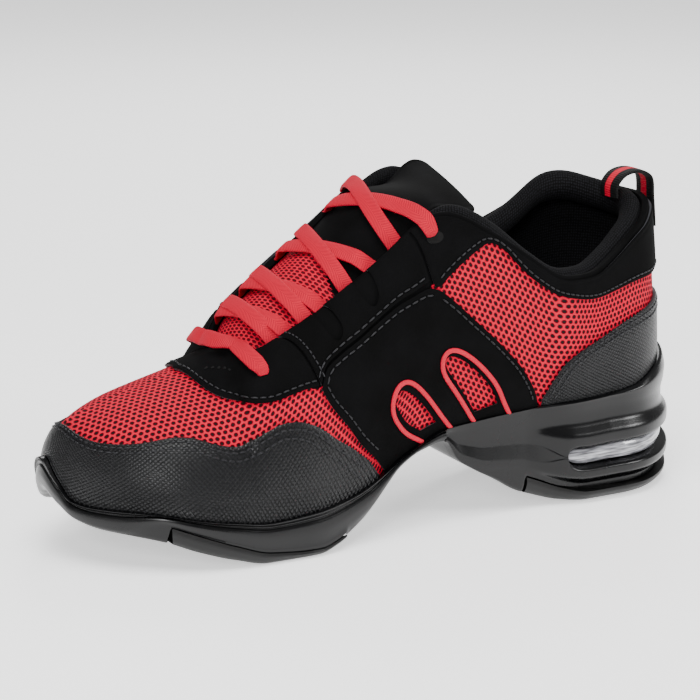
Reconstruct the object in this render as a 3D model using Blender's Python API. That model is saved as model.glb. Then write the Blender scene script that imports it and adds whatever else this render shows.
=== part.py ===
"""Dance sneaker, left shoe, standing empty on its split sole.

Metres, +Z up, toe towards -X, outer (lateral) side towards -Y. Every curved piece is worked out from one
form: the sole's outline, three heights along it, and the upper's top line. A place on that form is a signed
share of the sole's length from the heel, negative on the lateral side, and a rise from the sole to the top.
"""

import math

import bmesh
import bpy
from mathutils import Matrix, Vector

# Driving sizes
SOLE_LENGTH = 0.262
BALL_WIDTH = 0.097
HEEL_LIFT = 0.040
COLLAR_HEIGHT = 0.113
UPPER_WALL = 0.0022
OVERLAY = 0.0012
FIT_GAP = 0.0003
RIM_WIDTH = 0.003
OUTSOLE_THICKNESS = 0.0048
RIB_SWELL = 0.0027
AIR_SLOT_DEPTH = 0.005
INSOLE_THICKNESS = 0.003
TONGUE_THICKNESS = 0.005
LACE_WIDTH = 0.0065
LACE_THICKNESS = 0.0016
ROLL_WIDTH = 0.009
ROLL_HEIGHT = 0.012
LOOP_WIDTH = 0.012
LOOP_HEIGHT = 0.010
WEBBING = 0.0016
PIPING_WIDTH = 0.0018
PIPING_HEIGHT = 0.0007
PIPING_INSET = 0.0014
GROOVE_WIDTH = 0.0018
GROOVE_DEPTH = 0.0016
PIVOT_RADIUS = 0.014

# Where the outline's middle lies, so that the shoe is centred on the origin
CENTRE_SHARE = 0.019
HEEL_BACK = (SOLE_LENGTH - RIB_SWELL) / 2

# The throat's front end, the split between the two soles and the ends of what is on them
THROAT_END = 0.76
SOLE_SPLIT = 0.436
SLOT_END = 0.233
FOREFOOT_PAD = (0.610, 0.880)
HEEL_PAD_END = 0.300

HEEL_ROUND = 0.135
TOE_ROUND = 0.20
ROUND_POWER = 2.1

OUTLINE_COLUMNS = ("share", "lateral", "medial")
OUTLINE = [
    (0.00, -0.310, 0.310),
    (0.10, -0.350, 0.345),
    (0.20, -0.355, 0.345),
    (0.30, -0.340, 0.320),
    (0.40, -0.340, 0.290),
    (0.50, -0.370, 0.295),
    (0.60, -0.420, 0.350),
    (0.68, -0.450, 0.420),
    (0.76, -0.450, 0.475),
    (0.84, -0.425, 0.495),
    (0.92, -0.365, 0.475),
    (1.00, -0.250, 0.430),
]

# Heights along the sole, in shares of the heel's lift
HEIGHT_COLUMNS = ("share", "bottom", "rim", "bed")
HEIGHTS = [
    (0.000, 0.100, 1.350, 1.000),
    (0.030, 0.025, 1.275, 0.990),
    (0.070, 0.005, 1.190, 0.975),
    (0.110, 0.000, 1.110, 0.975),
    (0.190, 0.000, 1.055, 0.960),
    (0.240, 0.045, 1.040, 0.955),
    (0.282, 0.130, 1.025, 0.945),
    (0.317, 0.225, 1.010, 0.935),
    (0.347, 0.350, 1.000, 0.925),
    (0.385, 0.490, 0.980, 0.915),
    (0.412, 0.610, 0.965, 0.908),
    (0.436, 0.820, 0.950, 0.895),
    (0.480, 0.775, 0.862, 0.820),
    (0.517, 0.655, 0.760, 0.705),
    (0.542, 0.490, 0.665, 0.595),
    (0.571, 0.285, 0.570, 0.495),
    (0.595, 0.170, 0.515, 0.430),
    (0.626, 0.055, 0.470, 0.375),
    (0.657, 0.000, 0.440, 0.345),
    (0.735, 0.000, 0.405, 0.315),
    (0.786, 0.075, 0.450, 0.350),
    (0.844, 0.190, 0.510, 0.425),
    (0.886, 0.285, 0.560, 0.475),
    (0.926, 0.335, 0.575, 0.510),
    (0.960, 0.365, 0.575, 0.525),
    (0.981, 0.420, 0.605, 0.550),
    (0.992, 0.500, 0.750, 0.600),
    (1.000, 0.600, 0.930, 0.650),
]

# Thickness of the outsole pads along the sole, in shares of OUTSOLE_THICKNESS
PAD_COLUMNS = ("share", "thickness")
PADS = [
    (0.000, 1.00),
    (0.200, 1.00),
    (0.300, 1.40),
    (0.600, 0.50),
    (0.680, 0.60),
    (0.750, 1.00),
    (0.860, 1.45),
    (1.000, 1.45),
]

# Top line of the collar and throat, then the ridge of the vamp: along in shares of the sole's length from
# the heel, across in shares of the ball's width, up in shares of the collar's height
TOP_COLUMNS = ("share", "along", "across", "up")
LATERAL_TOP = [
    (0.000, 0.027, 0.000, 1.000),
    (0.020, 0.034, -0.093, 0.987),
    (0.050, 0.061, -0.175, 0.938),
    (0.090, 0.099, -0.227, 0.894),
    (0.140, 0.141, -0.268, 0.836),
    (0.200, 0.187, -0.309, 0.796),
    (0.260, 0.233, -0.325, 0.796),
    (0.320, 0.279, -0.320, 0.858),
    (0.380, 0.332, -0.304, 0.947),
    (0.430, 0.378, -0.289, 1.009),
    (0.470, 0.424, -0.268, 1.071),
    (0.500, 0.462, -0.242, 1.049),
    (0.525, 0.483, -0.216, 0.982),
    (0.560, 0.523, -0.206, 0.907),
    (0.600, 0.576, -0.201, 0.823),
    (0.645, 0.630, -0.196, 0.743),
    (0.690, 0.676, -0.186, 0.686),
    (0.720, 0.706, -0.155, 0.646),
    (0.745, 0.725, -0.082, 0.633),
    (0.760, 0.733, 0.021, 0.624),
]
MEDIAL_TOP = [
    (0.000, 0.027, 0.000, 1.000),
    (0.020, 0.034, 0.093, 1.004),
    (0.050, 0.061, 0.175, 1.018),
    (0.090, 0.099, 0.237, 1.027),
    (0.140, 0.141, 0.278, 1.004),
    (0.200, 0.187, 0.304, 0.956),
    (0.260, 0.240, 0.309, 0.903),
    (0.320, 0.286, 0.309, 0.872),
    (0.380, 0.340, 0.304, 0.912),
    (0.430, 0.393, 0.289, 1.000),
    (0.470, 0.443, 0.268, 1.080),
    (0.500, 0.477, 0.247, 1.097),
    (0.525, 0.508, 0.232, 1.044),
    (0.560, 0.553, 0.227, 0.960),
    (0.600, 0.607, 0.222, 0.876),
    (0.645, 0.660, 0.211, 0.783),
    (0.690, 0.702, 0.191, 0.708),
    (0.720, 0.725, 0.149, 0.655),
    (0.745, 0.735, 0.088, 0.633),
    (0.760, 0.733, 0.021, 0.624),
]
RIDGE = [
    (0.800, 0.775, 0.052, 0.580),
    (0.860, 0.832, 0.077, 0.535),
    (0.920, 0.878, 0.093, 0.504),
    (0.970, 0.908, 0.098, 0.482),
    (1.000, 0.920, 0.103, 0.473),
]

# How full the upper is between sole and top line: each handle's share of the rise or of the way in, and how
# far it stands out in shares of the ball's width
FULL_COLUMNS = ("share", "low_up", "low_out", "high_in", "high_down", "high_out")
FULLNESS = [
    (0.00, 0.33, -0.015, 0.00, 0.33, 0.030),
    (0.10, 0.33, 0.010, 0.10, 0.33, 0.020),
    (0.25, 0.33, 0.020, 0.25, 0.33, 0.020),
    (0.40, 0.36, 0.020, 0.35, 0.25, 0.010),
    (0.50, 0.42, 0.010, 0.40, 0.15, 0.000),
    (0.60, 0.50, 0.010, 0.42, 0.05, 0.000),
    (0.76, 0.56, 0.016, 0.50, 0.00, 0.000),
    (1.00, 0.60, 0.013, 0.59, 0.00, 0.000),
]

# Side of the heel unit from the outsole's edge to its shoulder: inset in shares of RIB_SWELL with the ribs at
# full strength and with none, and whether the row lies at the back of the air slot
# Columns: rise, ribbed, plain, slot
HEEL_SIDE = [
    (0.000, 0.35, 0.50, 0),
    (0.080, 0.45, 0.25, 0),
    (0.150, -1.00, 0.10, 0),
    (0.255, -1.00, 0.15, 0),
    (0.285, -0.50, 0.20, 1),
    (0.475, -0.50, 0.45, 1),
    (0.505, -0.90, 0.50, 0),
    (0.640, -0.90, 0.55, 0),
    (0.740, 0.10, 0.50, 0),
    (0.880, 0.15, 0.40, 0),
    (1.000, -0.20, 0.25, 0),
]
# Columns: rise, inset
FOREFOOT_SIDE = [
    (0.00, 0.90),
    (0.16, 0.30),
    (0.50, 0.00),
    (0.74, 0.15),
    (0.80, 0.45),
    (0.87, 0.05),
]
SHOULDER = 1.04


class Curve:
    """A monotone cubic through (place, value) pairs, level at its ends where asked."""

    def __init__(self, places, values, level=False):
        self.places = list(places)
        self.values = list(values)
        steps = [b - a for a, b in zip(self.places, self.places[1:])]
        rises = [(b - a) / h for a, b, h in zip(self.values, self.values[1:], steps)]
        slopes = [0.0 if level else rises[0]]
        for left, right, h0, h1 in zip(rises, rises[1:], steps, steps[1:]):
            if left * right <= 0:
                slopes.append(0.0)
                continue
            w0 = 2 * h1 + h0
            w1 = h1 + 2 * h0
            slopes.append((w0 + w1) / (w0 / left + w1 / right))
        slopes.append(0.0 if level else rises[-1])
        self.slopes = slopes

    def __call__(self, place):
        i = 0
        while i < len(self.places) - 2 and place > self.places[i + 1]:
            i += 1
        h = self.places[i + 1] - self.places[i]
        t = min(max((place - self.places[i]) / h, 0.0), 1.0)
        start = (1 + 2 * t) * (1 - t) ** 2 * self.values[i] + t * (1 - t) ** 2 * h * self.slopes[i]
        end = t * t * (3 - 2 * t) * self.values[i + 1] + t * t * (t - 1) * h * self.slopes[i + 1]
        return start + end


def column(names, rows, name):
    return [row[names.index(name)] for row in rows]


def turn_of(share):
    """The way round the sole, 0 at the heel and 1 at the toe, for a signed share of its length."""
    return math.copysign(math.acos(1 - 2 * min(abs(share), 1.0)) / math.pi, share)


def share_of(turn):
    return (1 - math.cos(math.pi * turn)) / 2


def wrap(turn):
    return (turn + 1) % 2 - 1


def ease(x):
    x = min(max(x, 0.0), 1.0)
    return x * x * (3 - 2 * x)


def curve_along(names, rows, name, unit):
    """A column as a curve over the way round, level at heel and toe."""
    turns = [turn_of(s) for s in column(names, rows, names[0])]
    return Curve(turns, [value * unit for value in column(names, rows, name)], level=True)


def curve_top(name, unit):
    """A column of the top line from the lateral toe round the heel to the medial toe."""
    lateral = [(-turn_of(row[0]),) + row[1:] for row in LATERAL_TOP[1:] + RIDGE]
    medial = [(turn_of(row[0]),) + row[1:] for row in MEDIAL_TOP + RIDGE]
    rows = lateral[::-1] + medial
    return Curve(column(TOP_COLUMNS, rows, "share"), [v * unit for v in column(TOP_COLUMNS, rows, name)])


lateral_edge = Curve(column(OUTLINE_COLUMNS, OUTLINE, "share"), column(OUTLINE_COLUMNS, OUTLINE, "lateral"))
medial_edge = Curve(column(OUTLINE_COLUMNS, OUTLINE, "share"), column(OUTLINE_COLUMNS, OUTLINE, "medial"))
bottom_height = curve_along(HEIGHT_COLUMNS, HEIGHTS, "bottom", HEEL_LIFT)
rim_height = curve_along(HEIGHT_COLUMNS, HEIGHTS, "rim", HEEL_LIFT)
bed_height = curve_along(HEIGHT_COLUMNS, HEIGHTS, "bed", HEEL_LIFT)
pad_thickness = curve_along(PAD_COLUMNS, PADS, "thickness", OUTSOLE_THICKNESS)
top_along = curve_top("along", SOLE_LENGTH)
top_across = curve_top("across", BALL_WIDTH)
top_up = curve_top("up", COLLAR_HEIGHT)
fullness = {
    name: Curve(column(FULL_COLUMNS, FULLNESS, "share"), column(FULL_COLUMNS, FULLNESS, name))
    for name in FULL_COLUMNS[1:]
}


def across(value):
    """A distance across the shoe, moved so that the shoe's box is centred."""
    return value - CENTRE_SHARE * BALL_WIDTH


def edge(turn):
    """A point of the sole's outline."""
    turn = wrap(turn)
    share = share_of(turn)
    left = lateral_edge(share)
    right = medial_edge(share)
    heel = max(1 - share / HEEL_ROUND, 0.0)
    toe = max(1 - (1 - share) / TOE_ROUND, 0.0)
    narrow = (1 - heel**ROUND_POWER) ** (1 / ROUND_POWER) * (1 - toe**ROUND_POWER) ** (1 / ROUND_POWER)
    half = (right - left) / 2 * narrow * (1 if turn > 0 else -1)
    y = across(((left + right) / 2 + half) * BALL_WIDTH)
    return Vector((HEEL_BACK - share * SOLE_LENGTH, y, 0.0))


def edge_out(turn):
    """The outward direction on the sole's outline."""
    step = 0.002
    along = edge(turn + step) - edge(turn - step)
    return Vector((along.y, -along.x, 0.0)).normalized()


def top_line(turn):
    turn = wrap(turn)
    return Vector((HEEL_BACK - top_along(turn), across(top_across(turn)), top_up(turn)))


def feather(turn):
    """Where the upper meets the sole, just inside its rim."""
    point = edge(turn) - edge_out(turn) * (RIM_WIDTH + FIT_GAP)
    return Vector((point.x, point.y, bed_height(abs(wrap(turn)))))


def surface(turn, rise):
    """The upper's outer surface, from the sole (rise 0) to the top line or ridge (rise 1)."""
    turn = wrap(turn)
    share = share_of(turn)
    low = feather(turn)
    high = top_line(turn)
    out = edge_out(turn)
    up = Vector((0, 0, 1))
    height = high.z - low.z
    inward = Vector((low.x - high.x, low.y - high.y, 0.0))
    step = 0.012
    ahead = top_line(math.copysign(min(abs(turn) + step, 1.0), turn))
    behind = top_line(math.copysign(max(abs(turn) - step, 0.0), turn))
    run = min(ahead.x - behind.x, -1e-6)
    slope = min(max((ahead.z - behind.z) / run, -0.2), 0.8) * ease((share - 0.72) / 0.06)
    full = {name: curve(share) for name, curve in fullness.items()}
    first = low + up * (full["low_up"] * height) + out * (full["low_out"] * BALL_WIDTH)
    second = high + inward * full["high_in"] - up * (full["high_down"] * height)
    second += out * (full["high_out"] * BALL_WIDTH) + up * (slope * full["high_in"] * inward.x)
    a = 1 - rise
    return a**3 * low + 3 * a * a * rise * first + 3 * a * rise * rise * second + rise**3 * high


def surface_out(turn, rise):
    """The direction out of the upper's surface, the mean of both sides on the vamp's ridge."""
    step = 0.004
    on_ridge = share_of(turn) >= THROAT_END - 1e-6
    rise = min(max(rise, step), 0.96 if on_ridge else 1 - step)
    along = surface(turn + step, rise) - surface(turn - step, rise)
    upward = surface(turn, rise + step) - surface(turn, rise - step)
    return along.cross(upward).normalized()


def wall_point(turn, rise, lift):
    """A point at a distance outside the upper's outer surface."""
    out = surface_out(turn, rise)
    if rise > 0.999 and share_of(turn) >= THROAT_END - 1e-6:
        out = (out + surface_out(-turn, rise)).normalized()
    return surface(turn, rise) + out * lift


def rise_at_rim(turn):
    """How far up the upper the sole's rim reaches."""
    low = 0.0
    high = 0.9
    for _ in range(24):
        middle = (low + high) / 2
        if surface(turn, middle).z < rim_height(abs(turn)):
            low = middle
        else:
            high = middle
    return low


RIM_SAMPLES = 60
# Shares of the sole's length over which the ribs, the air slot and the pads begin
RIBS_FROM = 0.30
RIBS_OVER = 0.08
SLOT_OVER = 0.005
PAD_OVER = 0.008
rim_turns = [-1 + i / RIM_SAMPLES for i in range(2 * RIM_SAMPLES + 1)]
rim_rise = Curve(rim_turns, [rise_at_rim(turn) for turn in rim_turns])


# Scene set-up and mesh helpers

for old in list(bpy.data.objects):
    bpy.data.objects.remove(old, do_unlink=True)

parts = bpy.data.collections.new("dance_sneaker")
cutters = bpy.data.collections.new("cutters")
bpy.context.scene.collection.children.link(parts)
bpy.context.scene.collection.children.link(cutters)

FINISHES = {
    "sole_rubber": ((0.012, 0.012, 0.014), 0.42),
    "outsole_rubber": ((0.010, 0.010, 0.011), 0.60),
    "clear_cushion": ((0.42, 0.42, 0.43), 0.12),
    "red_mesh": ((0.72, 0.045, 0.060), 0.85),
    "black_leather": ((0.010, 0.010, 0.012), 0.48),
    "grained_leather": ((0.016, 0.016, 0.018), 0.55),
    "black_textile": ((0.012, 0.012, 0.013), 0.90),
    "red_cord": ((0.86, 0.055, 0.075), 0.70),
    "red_piping": ((0.70, 0.030, 0.040), 0.50),
}


def finish(name):
    found = bpy.data.materials.get(name)
    if found:
        return found
    colour, roughness = FINISHES[name]
    made = bpy.data.materials.new(name)
    made.use_nodes = True
    shader = made.node_tree.nodes["Principled BSDF"]
    shader.inputs["Base Color"].default_value = (*colour, 1)
    shader.inputs["Roughness"].default_value = roughness
    shader.inputs["Metallic"].default_value = 0.0
    return made


def add_object(name, mesh, material, collection=parts):
    made = bpy.data.objects.new(name, mesh)
    collection.objects.link(made)
    if material:
        mesh.materials.append(finish(material))
    return made


def mesh_from(name, points, faces):
    """A mesh whose faces point outwards, with its doubles merged and flat faces' folds left alone."""
    work = bmesh.new()
    corners = [work.verts.new(p) for p in points]
    for face in faces:
        loop = []
        for i in face:
            if corners[i] not in loop:
                loop.append(corners[i])
        if len(loop) > 2:
            work.faces.new(loop)
    bmesh.ops.remove_doubles(work, verts=work.verts, dist=1e-6)
    bmesh.ops.recalc_face_normals(work, faces=work.faces)
    mesh = bpy.data.meshes.new(name)
    work.to_mesh(mesh)
    work.free()
    return mesh


def shade(made, angle=35):
    made.data.shade_smooth()
    made.data.set_sharp_from_angle(angle=math.radians(angle))
    return made


def loft_pair(name, sections, material):
    """A solid across the shoe: sections run round its edge, each row from underside to top, and the first
    and last row of opposite sections are joined straight across."""
    count = len(sections)
    rows = len(sections[0])
    points = [p for section in sections for p in section]
    faces = []
    for j in range(count - 1):
        for k in range(rows - 1):
            a = j * rows + k
            faces.append((a, a + rows, a + rows + 1, a + 1))
    for k in (0, rows - 1):
        for j in range(count // 2):
            other = count - 1 - j
            faces.append((j * rows + k, (j + 1) * rows + k, (other - 1) * rows + k, other * rows + k))
    last = (count - 1) * rows
    for k in range(rows - 1):
        faces.append((k, k + 1, last + k + 1, last + k))
    return shade(add_object(name, mesh_from(name, points, faces), material))


def loft_tube(name, sections, material):
    """A solid through closed sections, capped at both ends."""
    count = len(sections)
    rows = len(sections[0])
    points = [p for section in sections for p in section]
    faces = [tuple(range(rows)), tuple((count - 1) * rows + k for k in range(rows))]
    for j in range(count - 1):
        for k in range(rows):
            a = j * rows + k
            b = j * rows + (k + 1) % rows
            faces.append((a, b, b + rows, a + rows))
    return shade(add_object(name, mesh_from(name, points, faces), material))


def spread(start, end, count):
    return [start + (end - start) * i / (count - 1) for i in range(count)]


def both_sides(turns):
    """Turns from the lateral side round to the medial side, through the last one given."""
    return [-turn for turn in turns] + [turn for turn in turns[-2::-1]]


# Stations along the form, as shares of the sole's length: the upper, insole and soles share them, so that
# their straight stretches lie side by side

HEEL_SHARES = (0.412, 0.385, 0.350, 0.318, 0.262)
FOREFOOT_SHARES = (0.465, 0.490, 0.515, 0.542, 0.565, 0.590, 0.635, 0.660, 0.695, 0.720, 0.742,
                   THROAT_END, 0.800, 0.840, 0.918)
HEEL_CURVE = spread(turn_of(0.20), 0.0, 8)
TOE_CURVE = spread(turn_of(0.948), 1.0, 7)


def stations(shares):
    return sorted(turn_of(share) for share in shares)


def full_round():
    """Turns of the upper and insole, from the lateral toe round the heel back to the medial toe."""
    middle = (0.234, HEEL_PAD_END, SOLE_SPLIT) + FOREFOOT_PAD
    half = HEEL_CURVE[::-1] + stations(HEEL_SHARES + FOREFOOT_SHARES + middle) + TOE_CURVE
    return [-turn for turn in half[::-1]] + half[1:-1]


# Sole

RECESS_STEPS = 3


def recess(turn):
    """Rows down the sole's recess, one fit gap outside the upper, from the rim to its floor."""
    rows = []
    top = rim_rise(wrap(turn))
    for i in range(RECESS_STEPS):
        rise = top * (1 - i / (RECESS_STEPS - 1))
        point = wall_point(turn, rise, FIT_GAP)
        if i == 0:
            point.z = rim_height(abs(wrap(turn)))
        if i == RECESS_STEPS - 1:
            point.z -= FIT_GAP
        rows.append(point)
    return rows


def at_side(turn, inset, z):
    point = edge(turn) - edge_out(turn) * inset
    return Vector((point.x, point.y, z))


def flatten_ends(sections, x):
    """The end sections are cut square across the shoe."""
    for section in (sections[0], sections[-1]):
        for point in section:
            point.x = x


def pad_top(turn):
    way = abs(wrap(turn))
    return bottom_height(way) + pad_thickness(way)


def make_midsole_heel():
    pad, slot_over = PAD_OVER / 2, 0.004
    ends = (SOLE_SPLIT - 0.002, HEEL_PAD_END + pad, HEEL_PAD_END - pad, SLOT_END + slot_over,
            SLOT_END - slot_over)
    turns = both_sides(stations(HEEL_SHARES + ends)[::-1] + HEEL_CURVE)
    sections = []
    for turn in turns:
        share = share_of(turn)
        way = abs(turn)
        ribs = ease((RIBS_FROM - share) / RIBS_OVER)
        slot = ease((SLOT_END - share) / SLOT_OVER + 0.5)
        padded = ease((HEEL_PAD_END - share) / PAD_OVER + 0.5)
        low = bottom_height(way) + padded * (pad_thickness(way) + FIT_GAP)
        rim = rim_height(way)
        high = min(rim - 0.03 * HEEL_LIFT, SHOULDER * HEEL_LIFT)
        rows = [at_side(turn, 2.2 * RIB_SWELL, low)]
        for rise, ribbed, plain, deep in HEEL_SIDE:
            inset = (plain + (ribbed - plain) * ribs) * RIB_SWELL + deep * slot * AIR_SLOT_DEPTH
            rows.append(at_side(turn, inset, low + rise * (high - low)))
        rows.append(at_side(turn, (0.2 - 0.55 * ribs) * RIB_SWELL, (high + rim) / 2))
        rows.append(at_side(turn, 0.15 * RIB_SWELL, rim))
        sections.append(rows + recess(turn))
    flatten_ends(sections, HEEL_BACK - SOLE_SPLIT * SOLE_LENGTH + FIT_GAP / 2)
    return loft_pair("midsole_heel", sections, "sole_rubber")


def make_midsole_forefoot():
    start, end = FOREFOOT_PAD
    pad = PAD_OVER / 2
    ends = (SOLE_SPLIT + 0.002, start - pad, start + pad, end - pad, end + pad)
    turns = both_sides(stations(FOREFOOT_SHARES + ends) + TOE_CURVE)
    sections = []
    for turn in turns:
        share = share_of(turn)
        way = abs(turn)
        padded = ease((share - start) / PAD_OVER + 0.5) * ease((end - share) / PAD_OVER + 0.5)
        low = bottom_height(way) + padded * (pad_thickness(way) + FIT_GAP)
        rim = rim_height(way)
        rows = [at_side(turn, 2.0 * RIB_SWELL, low)]
        for rise, inset in FOREFOOT_SIDE:
            rows.append(at_side(turn, inset * RIB_SWELL, low + rise * (rim - low)))
        rows.append(at_side(turn, 0.15 * RIB_SWELL, rim))
        sections.append(rows + recess(turn))
    flatten_ends(sections, HEEL_BACK - SOLE_SPLIT * SOLE_LENGTH - FIT_GAP / 2)
    return loft_pair("midsole_forefoot", sections, "sole_rubber")


def make_pad(name, turns, swell):
    """An outsole pad under one half of the sole, with rounded edges."""
    sections = []
    for turn in turns:
        way = abs(wrap(turn))
        low = bottom_height(way)
        high = pad_top(turn)
        swollen = swell(share_of(turn)) * RIB_SWELL
        sections.append([
            at_side(turn, 1.2 * RIB_SWELL, low),
            at_side(turn, 0.45 * RIB_SWELL - swollen, low + 0.28 * (high - low)),
            at_side(turn, 0.15 * RIB_SWELL - swollen, low + 0.70 * (high - low)),
            at_side(turn, 0.55 * RIB_SWELL - swollen, high),
        ])
    return loft_pair(name, sections, "outsole_rubber")


def groove_cutter(share):
    """A bar across the underside that leaves a groove, square to the sole's slope there."""
    way = turn_of(share)
    step = 0.01
    rise = bottom_height(turn_of(share + step)) - bottom_height(turn_of(share - step))
    middle = (edge(way) + edge(-way)) / 2
    bpy.ops.mesh.primitive_cube_add(size=1, location=(middle.x, middle.y, bottom_height(way)))
    bar = bpy.context.object
    bar.scale = (GROOVE_WIDTH, BALL_WIDTH * 1.2, GROOVE_DEPTH * 2)
    bar.rotation_euler = (0, math.atan2(rise, 2 * step * SOLE_LENGTH), 0)
    return bar


def cut(target, tools, operation="DIFFERENCE"):
    """Applies exact Booleans and moves the cutters to their own collection."""
    for tool in tools:
        for holder in list(tool.users_collection):
            holder.objects.unlink(tool)
        cutters.objects.link(tool)
        tool.hide_render = True
        tool.display_type = "WIRE"
        modifier = target.modifiers.new("cut", "BOOLEAN")
        modifier.operation = operation
        modifier.solver = "EXACT"
        modifier.object = tool
    return target


def make_outsoles():
    start, end = FOREFOOT_PAD
    half = stations([s for s in FOREFOOT_SHARES if start < s < end] + [start + 0.006, end - 0.018])
    lateral = [-turn for turn in half]
    sections = lateral[:-1] + [lateral[-1]] + [half[-1]] + half[-2::-1]
    pad = make_pad("outsole_forefoot", sections, lambda share: 0.0)
    grooves = [groove_cutter(share) for share in (0.640, 0.755, 0.785, 0.815, 0.845)]
    middle = (edge(turn_of(0.696)) + edge(-turn_of(0.696))) / 2
    bpy.ops.mesh.primitive_torus_add(
        location=(middle.x, middle.y, -FIT_GAP), major_segments=24, minor_segments=6,
        major_radius=PIVOT_RADIUS, minor_radius=GROOVE_DEPTH)
    cut(pad, grooves + [bpy.context.object])
    front = (HEEL_PAD_END - 0.006, 0.262, SLOT_END + 0.004, SLOT_END - 0.004)
    back = both_sides([turn_of(s) for s in front] + HEEL_CURVE)
    heel = make_pad("outsole_heel", back, lambda share: ease((0.25 - share) / 0.06))
    cut(heel, [groove_cutter(share) for share in (0.055, 0.085, 0.215, 0.240, 0.262)])


def make_air_cushion():
    """The clear cushion that fills the slot round the back of the heel."""
    low_row, high_row = [row for row in HEEL_SIDE if row[3]]
    turns = both_sides([turn_of(SLOT_END - 0.008)] + HEEL_CURVE)
    sections = []
    for turn in turns:
        way = abs(turn)
        base = pad_top(turn) + FIT_GAP
        high = min(rim_height(way) - 0.03 * HEEL_LIFT, SHOULDER * HEEL_LIFT)
        bottom = base + low_row[0] * (high - base) + FIT_GAP
        top = base + high_row[0] * (high - base) - FIT_GAP
        depth = AIR_SLOT_DEPTH - 0.5 * RIB_SWELL - FIT_GAP
        sections.append([
            at_side(turn, depth, bottom),
            at_side(turn, 0.35 * RIB_SWELL, bottom),
            at_side(turn, 0.05 * RIB_SWELL, (2 * bottom + top) / 3),
            at_side(turn, 0.05 * RIB_SWELL, (bottom + 2 * top) / 3),
            at_side(turn, 0.35 * RIB_SWELL, top),
            at_side(turn, depth, top),
        ])
    return loft_tube("air_cushion", sections, "clear_cushion")


def loft_ring_pair(name, sections, material):
    """A flat solid whose rim runs all the way round, from the toe by the lateral side, heel and medial side."""
    count = len(sections)
    rows = len(sections[0])
    points = [p for section in sections for p in section]
    faces = []
    for j in range(count):
        for k in range(rows - 1):
            a = j * rows + k
            b = (j + 1) % count * rows + k
            faces.append((a, b, b + 1, a + 1))
    for k in (0, rows - 1):
        for j in range(count // 2):
            other = (count - j) % count
            faces.append((j * rows + k, (j + 1) * rows + k, (other - 1) % count * rows + k, other * rows + k))
    return shade(add_object(name, mesh_from(name, points, faces), material))


def make_insole():
    inset = RIM_WIDTH + FIT_GAP + UPPER_WALL
    sections = []
    for turn in full_round():
        z = bed_height(abs(turn))
        clear = wall_point(turn, rim_rise(turn) * 0.5, -UPPER_WALL - 2 * FIT_GAP)
        foot = at_side(turn, inset + 2 * FIT_GAP, z)
        top = Vector((clear.x, clear.y, z + INSOLE_THICKNESS))
        if (top - foot).dot(edge_out(turn)) > 0:
            top = Vector((foot.x, foot.y, top.z))
        sections.append([foot, top])
    return loft_ring_pair("insole", sections, "black_textile")


# Upper

UPPER_RISES = (0.0, 0.12, 0.28, 0.45, 0.62, 0.78, 0.91, 1.0)


def make_upper():
    """One hollow wall, open underneath, at the collar and down the throat."""
    throat = turn_of(THROAT_END)
    turns = full_round()
    count = len(turns)
    rows = len(UPPER_RISES)
    points = []
    index = {}
    for layer, lift in enumerate((0.0, -UPPER_WALL)):
        for j, turn in enumerate(turns):
            for k, rise in enumerate(UPPER_RISES):
                twin = (count - j) % count
                shared = k == rows - 1 and abs(turn) >= throat - 1e-6 and twin < j
                if shared:
                    index[layer, j, k] = index[layer, twin, k]
                    continue
                index[layer, j, k] = len(points)
                points.append(wall_point(turn, rise, lift))
    faces = []
    for j in range(count):
        after = (j + 1) % count
        for k in range(rows - 1):
            for layer in (0, 1):
                faces.append((index[layer, j, k], index[layer, after, k],
                              index[layer, after, k + 1], index[layer, j, k + 1]))
        faces.append((index[0, j, 0], index[0, after, 0], index[1, after, 0], index[1, j, 0]))
        if max(abs(turns[j]), abs(turns[after])) <= throat + 1e-6:
            top = rows - 1
            faces.append((index[0, j, top], index[0, after, top], index[1, after, top], index[1, j, top]))
    return shade(add_object("upper", mesh_from("upper", points, faces), "red_mesh"), 50)


# Throat: the tongue and the laces follow one arched surface between the throat's edges

ARCH = 0.13
FLANK = 0.22
TONGUE_STEPS = (-1.3, -1.15, -1.0, -0.55, 0.0, 0.55, 1.0, 1.15, 1.3)
TONGUE_UNDER = (0.815, 0.790, 0.766)
TONGUE_OPEN = (0.742, 0.720, 0.690, 0.650, 0.610, 0.570, 0.535, 0.505)
# The tongue's free top: along in shares of the sole's length from the heel, across in shares of the ball's
# width and up in shares of the collar's height, at its lateral and medial edge
# Columns: along, lateral, lateral_up, medial, medial_up, skew, arch
TONGUE_FREE = [
    (0.430, -0.190, 1.062, 0.190, 1.140, 0.012, 0.100),
    (0.385, -0.175, 1.050, 0.190, 1.165, 0.022, 0.060),
    (0.338, -0.150, 1.020, 0.190, 1.178, 0.034, 0.025),
]


def over_throat(share, t):
    """A point between the throat's edges (t from -1 to 1) or on the upper beyond them, and its direction
    outwards."""
    way = turn_of(share)
    if abs(t) > 1:
        turn = math.copysign(way, t)
        rise = 1 - FLANK * (abs(t) - 1)
        return surface(turn, rise), surface_out(turn, rise)
    left = top_line(-way)
    right = top_line(way)
    chord = right - left
    step = 0.01
    ahead = (top_line(-turn_of(share + step)) + top_line(turn_of(share + step))) / 2
    behind = (top_line(-turn_of(share - step)) + top_line(turn_of(share - step))) / 2
    out = chord.cross(ahead - behind).normalized()
    if out.z < 0:
        out = -out
    side = surface_out(math.copysign(way, t), 1.0)
    point = (left + right) / 2 + chord * (t / 2) + out * (ARCH * chord.length * (1 - t * t))
    return point, out.lerp(side, t * t).normalized()


def tongue_section(points, outs, drops):
    upper = [p - n * d for p, n, d in zip(points, outs, drops)]
    thick = [TONGUE_THICKNESS * (1 - 0.55 * min(abs(t), 1.0) ** 2) for t in TONGUE_STEPS]
    under = [p - n * h for p, n, h in zip(upper, outs, thick)]
    return upper + under[::-1]


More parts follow.
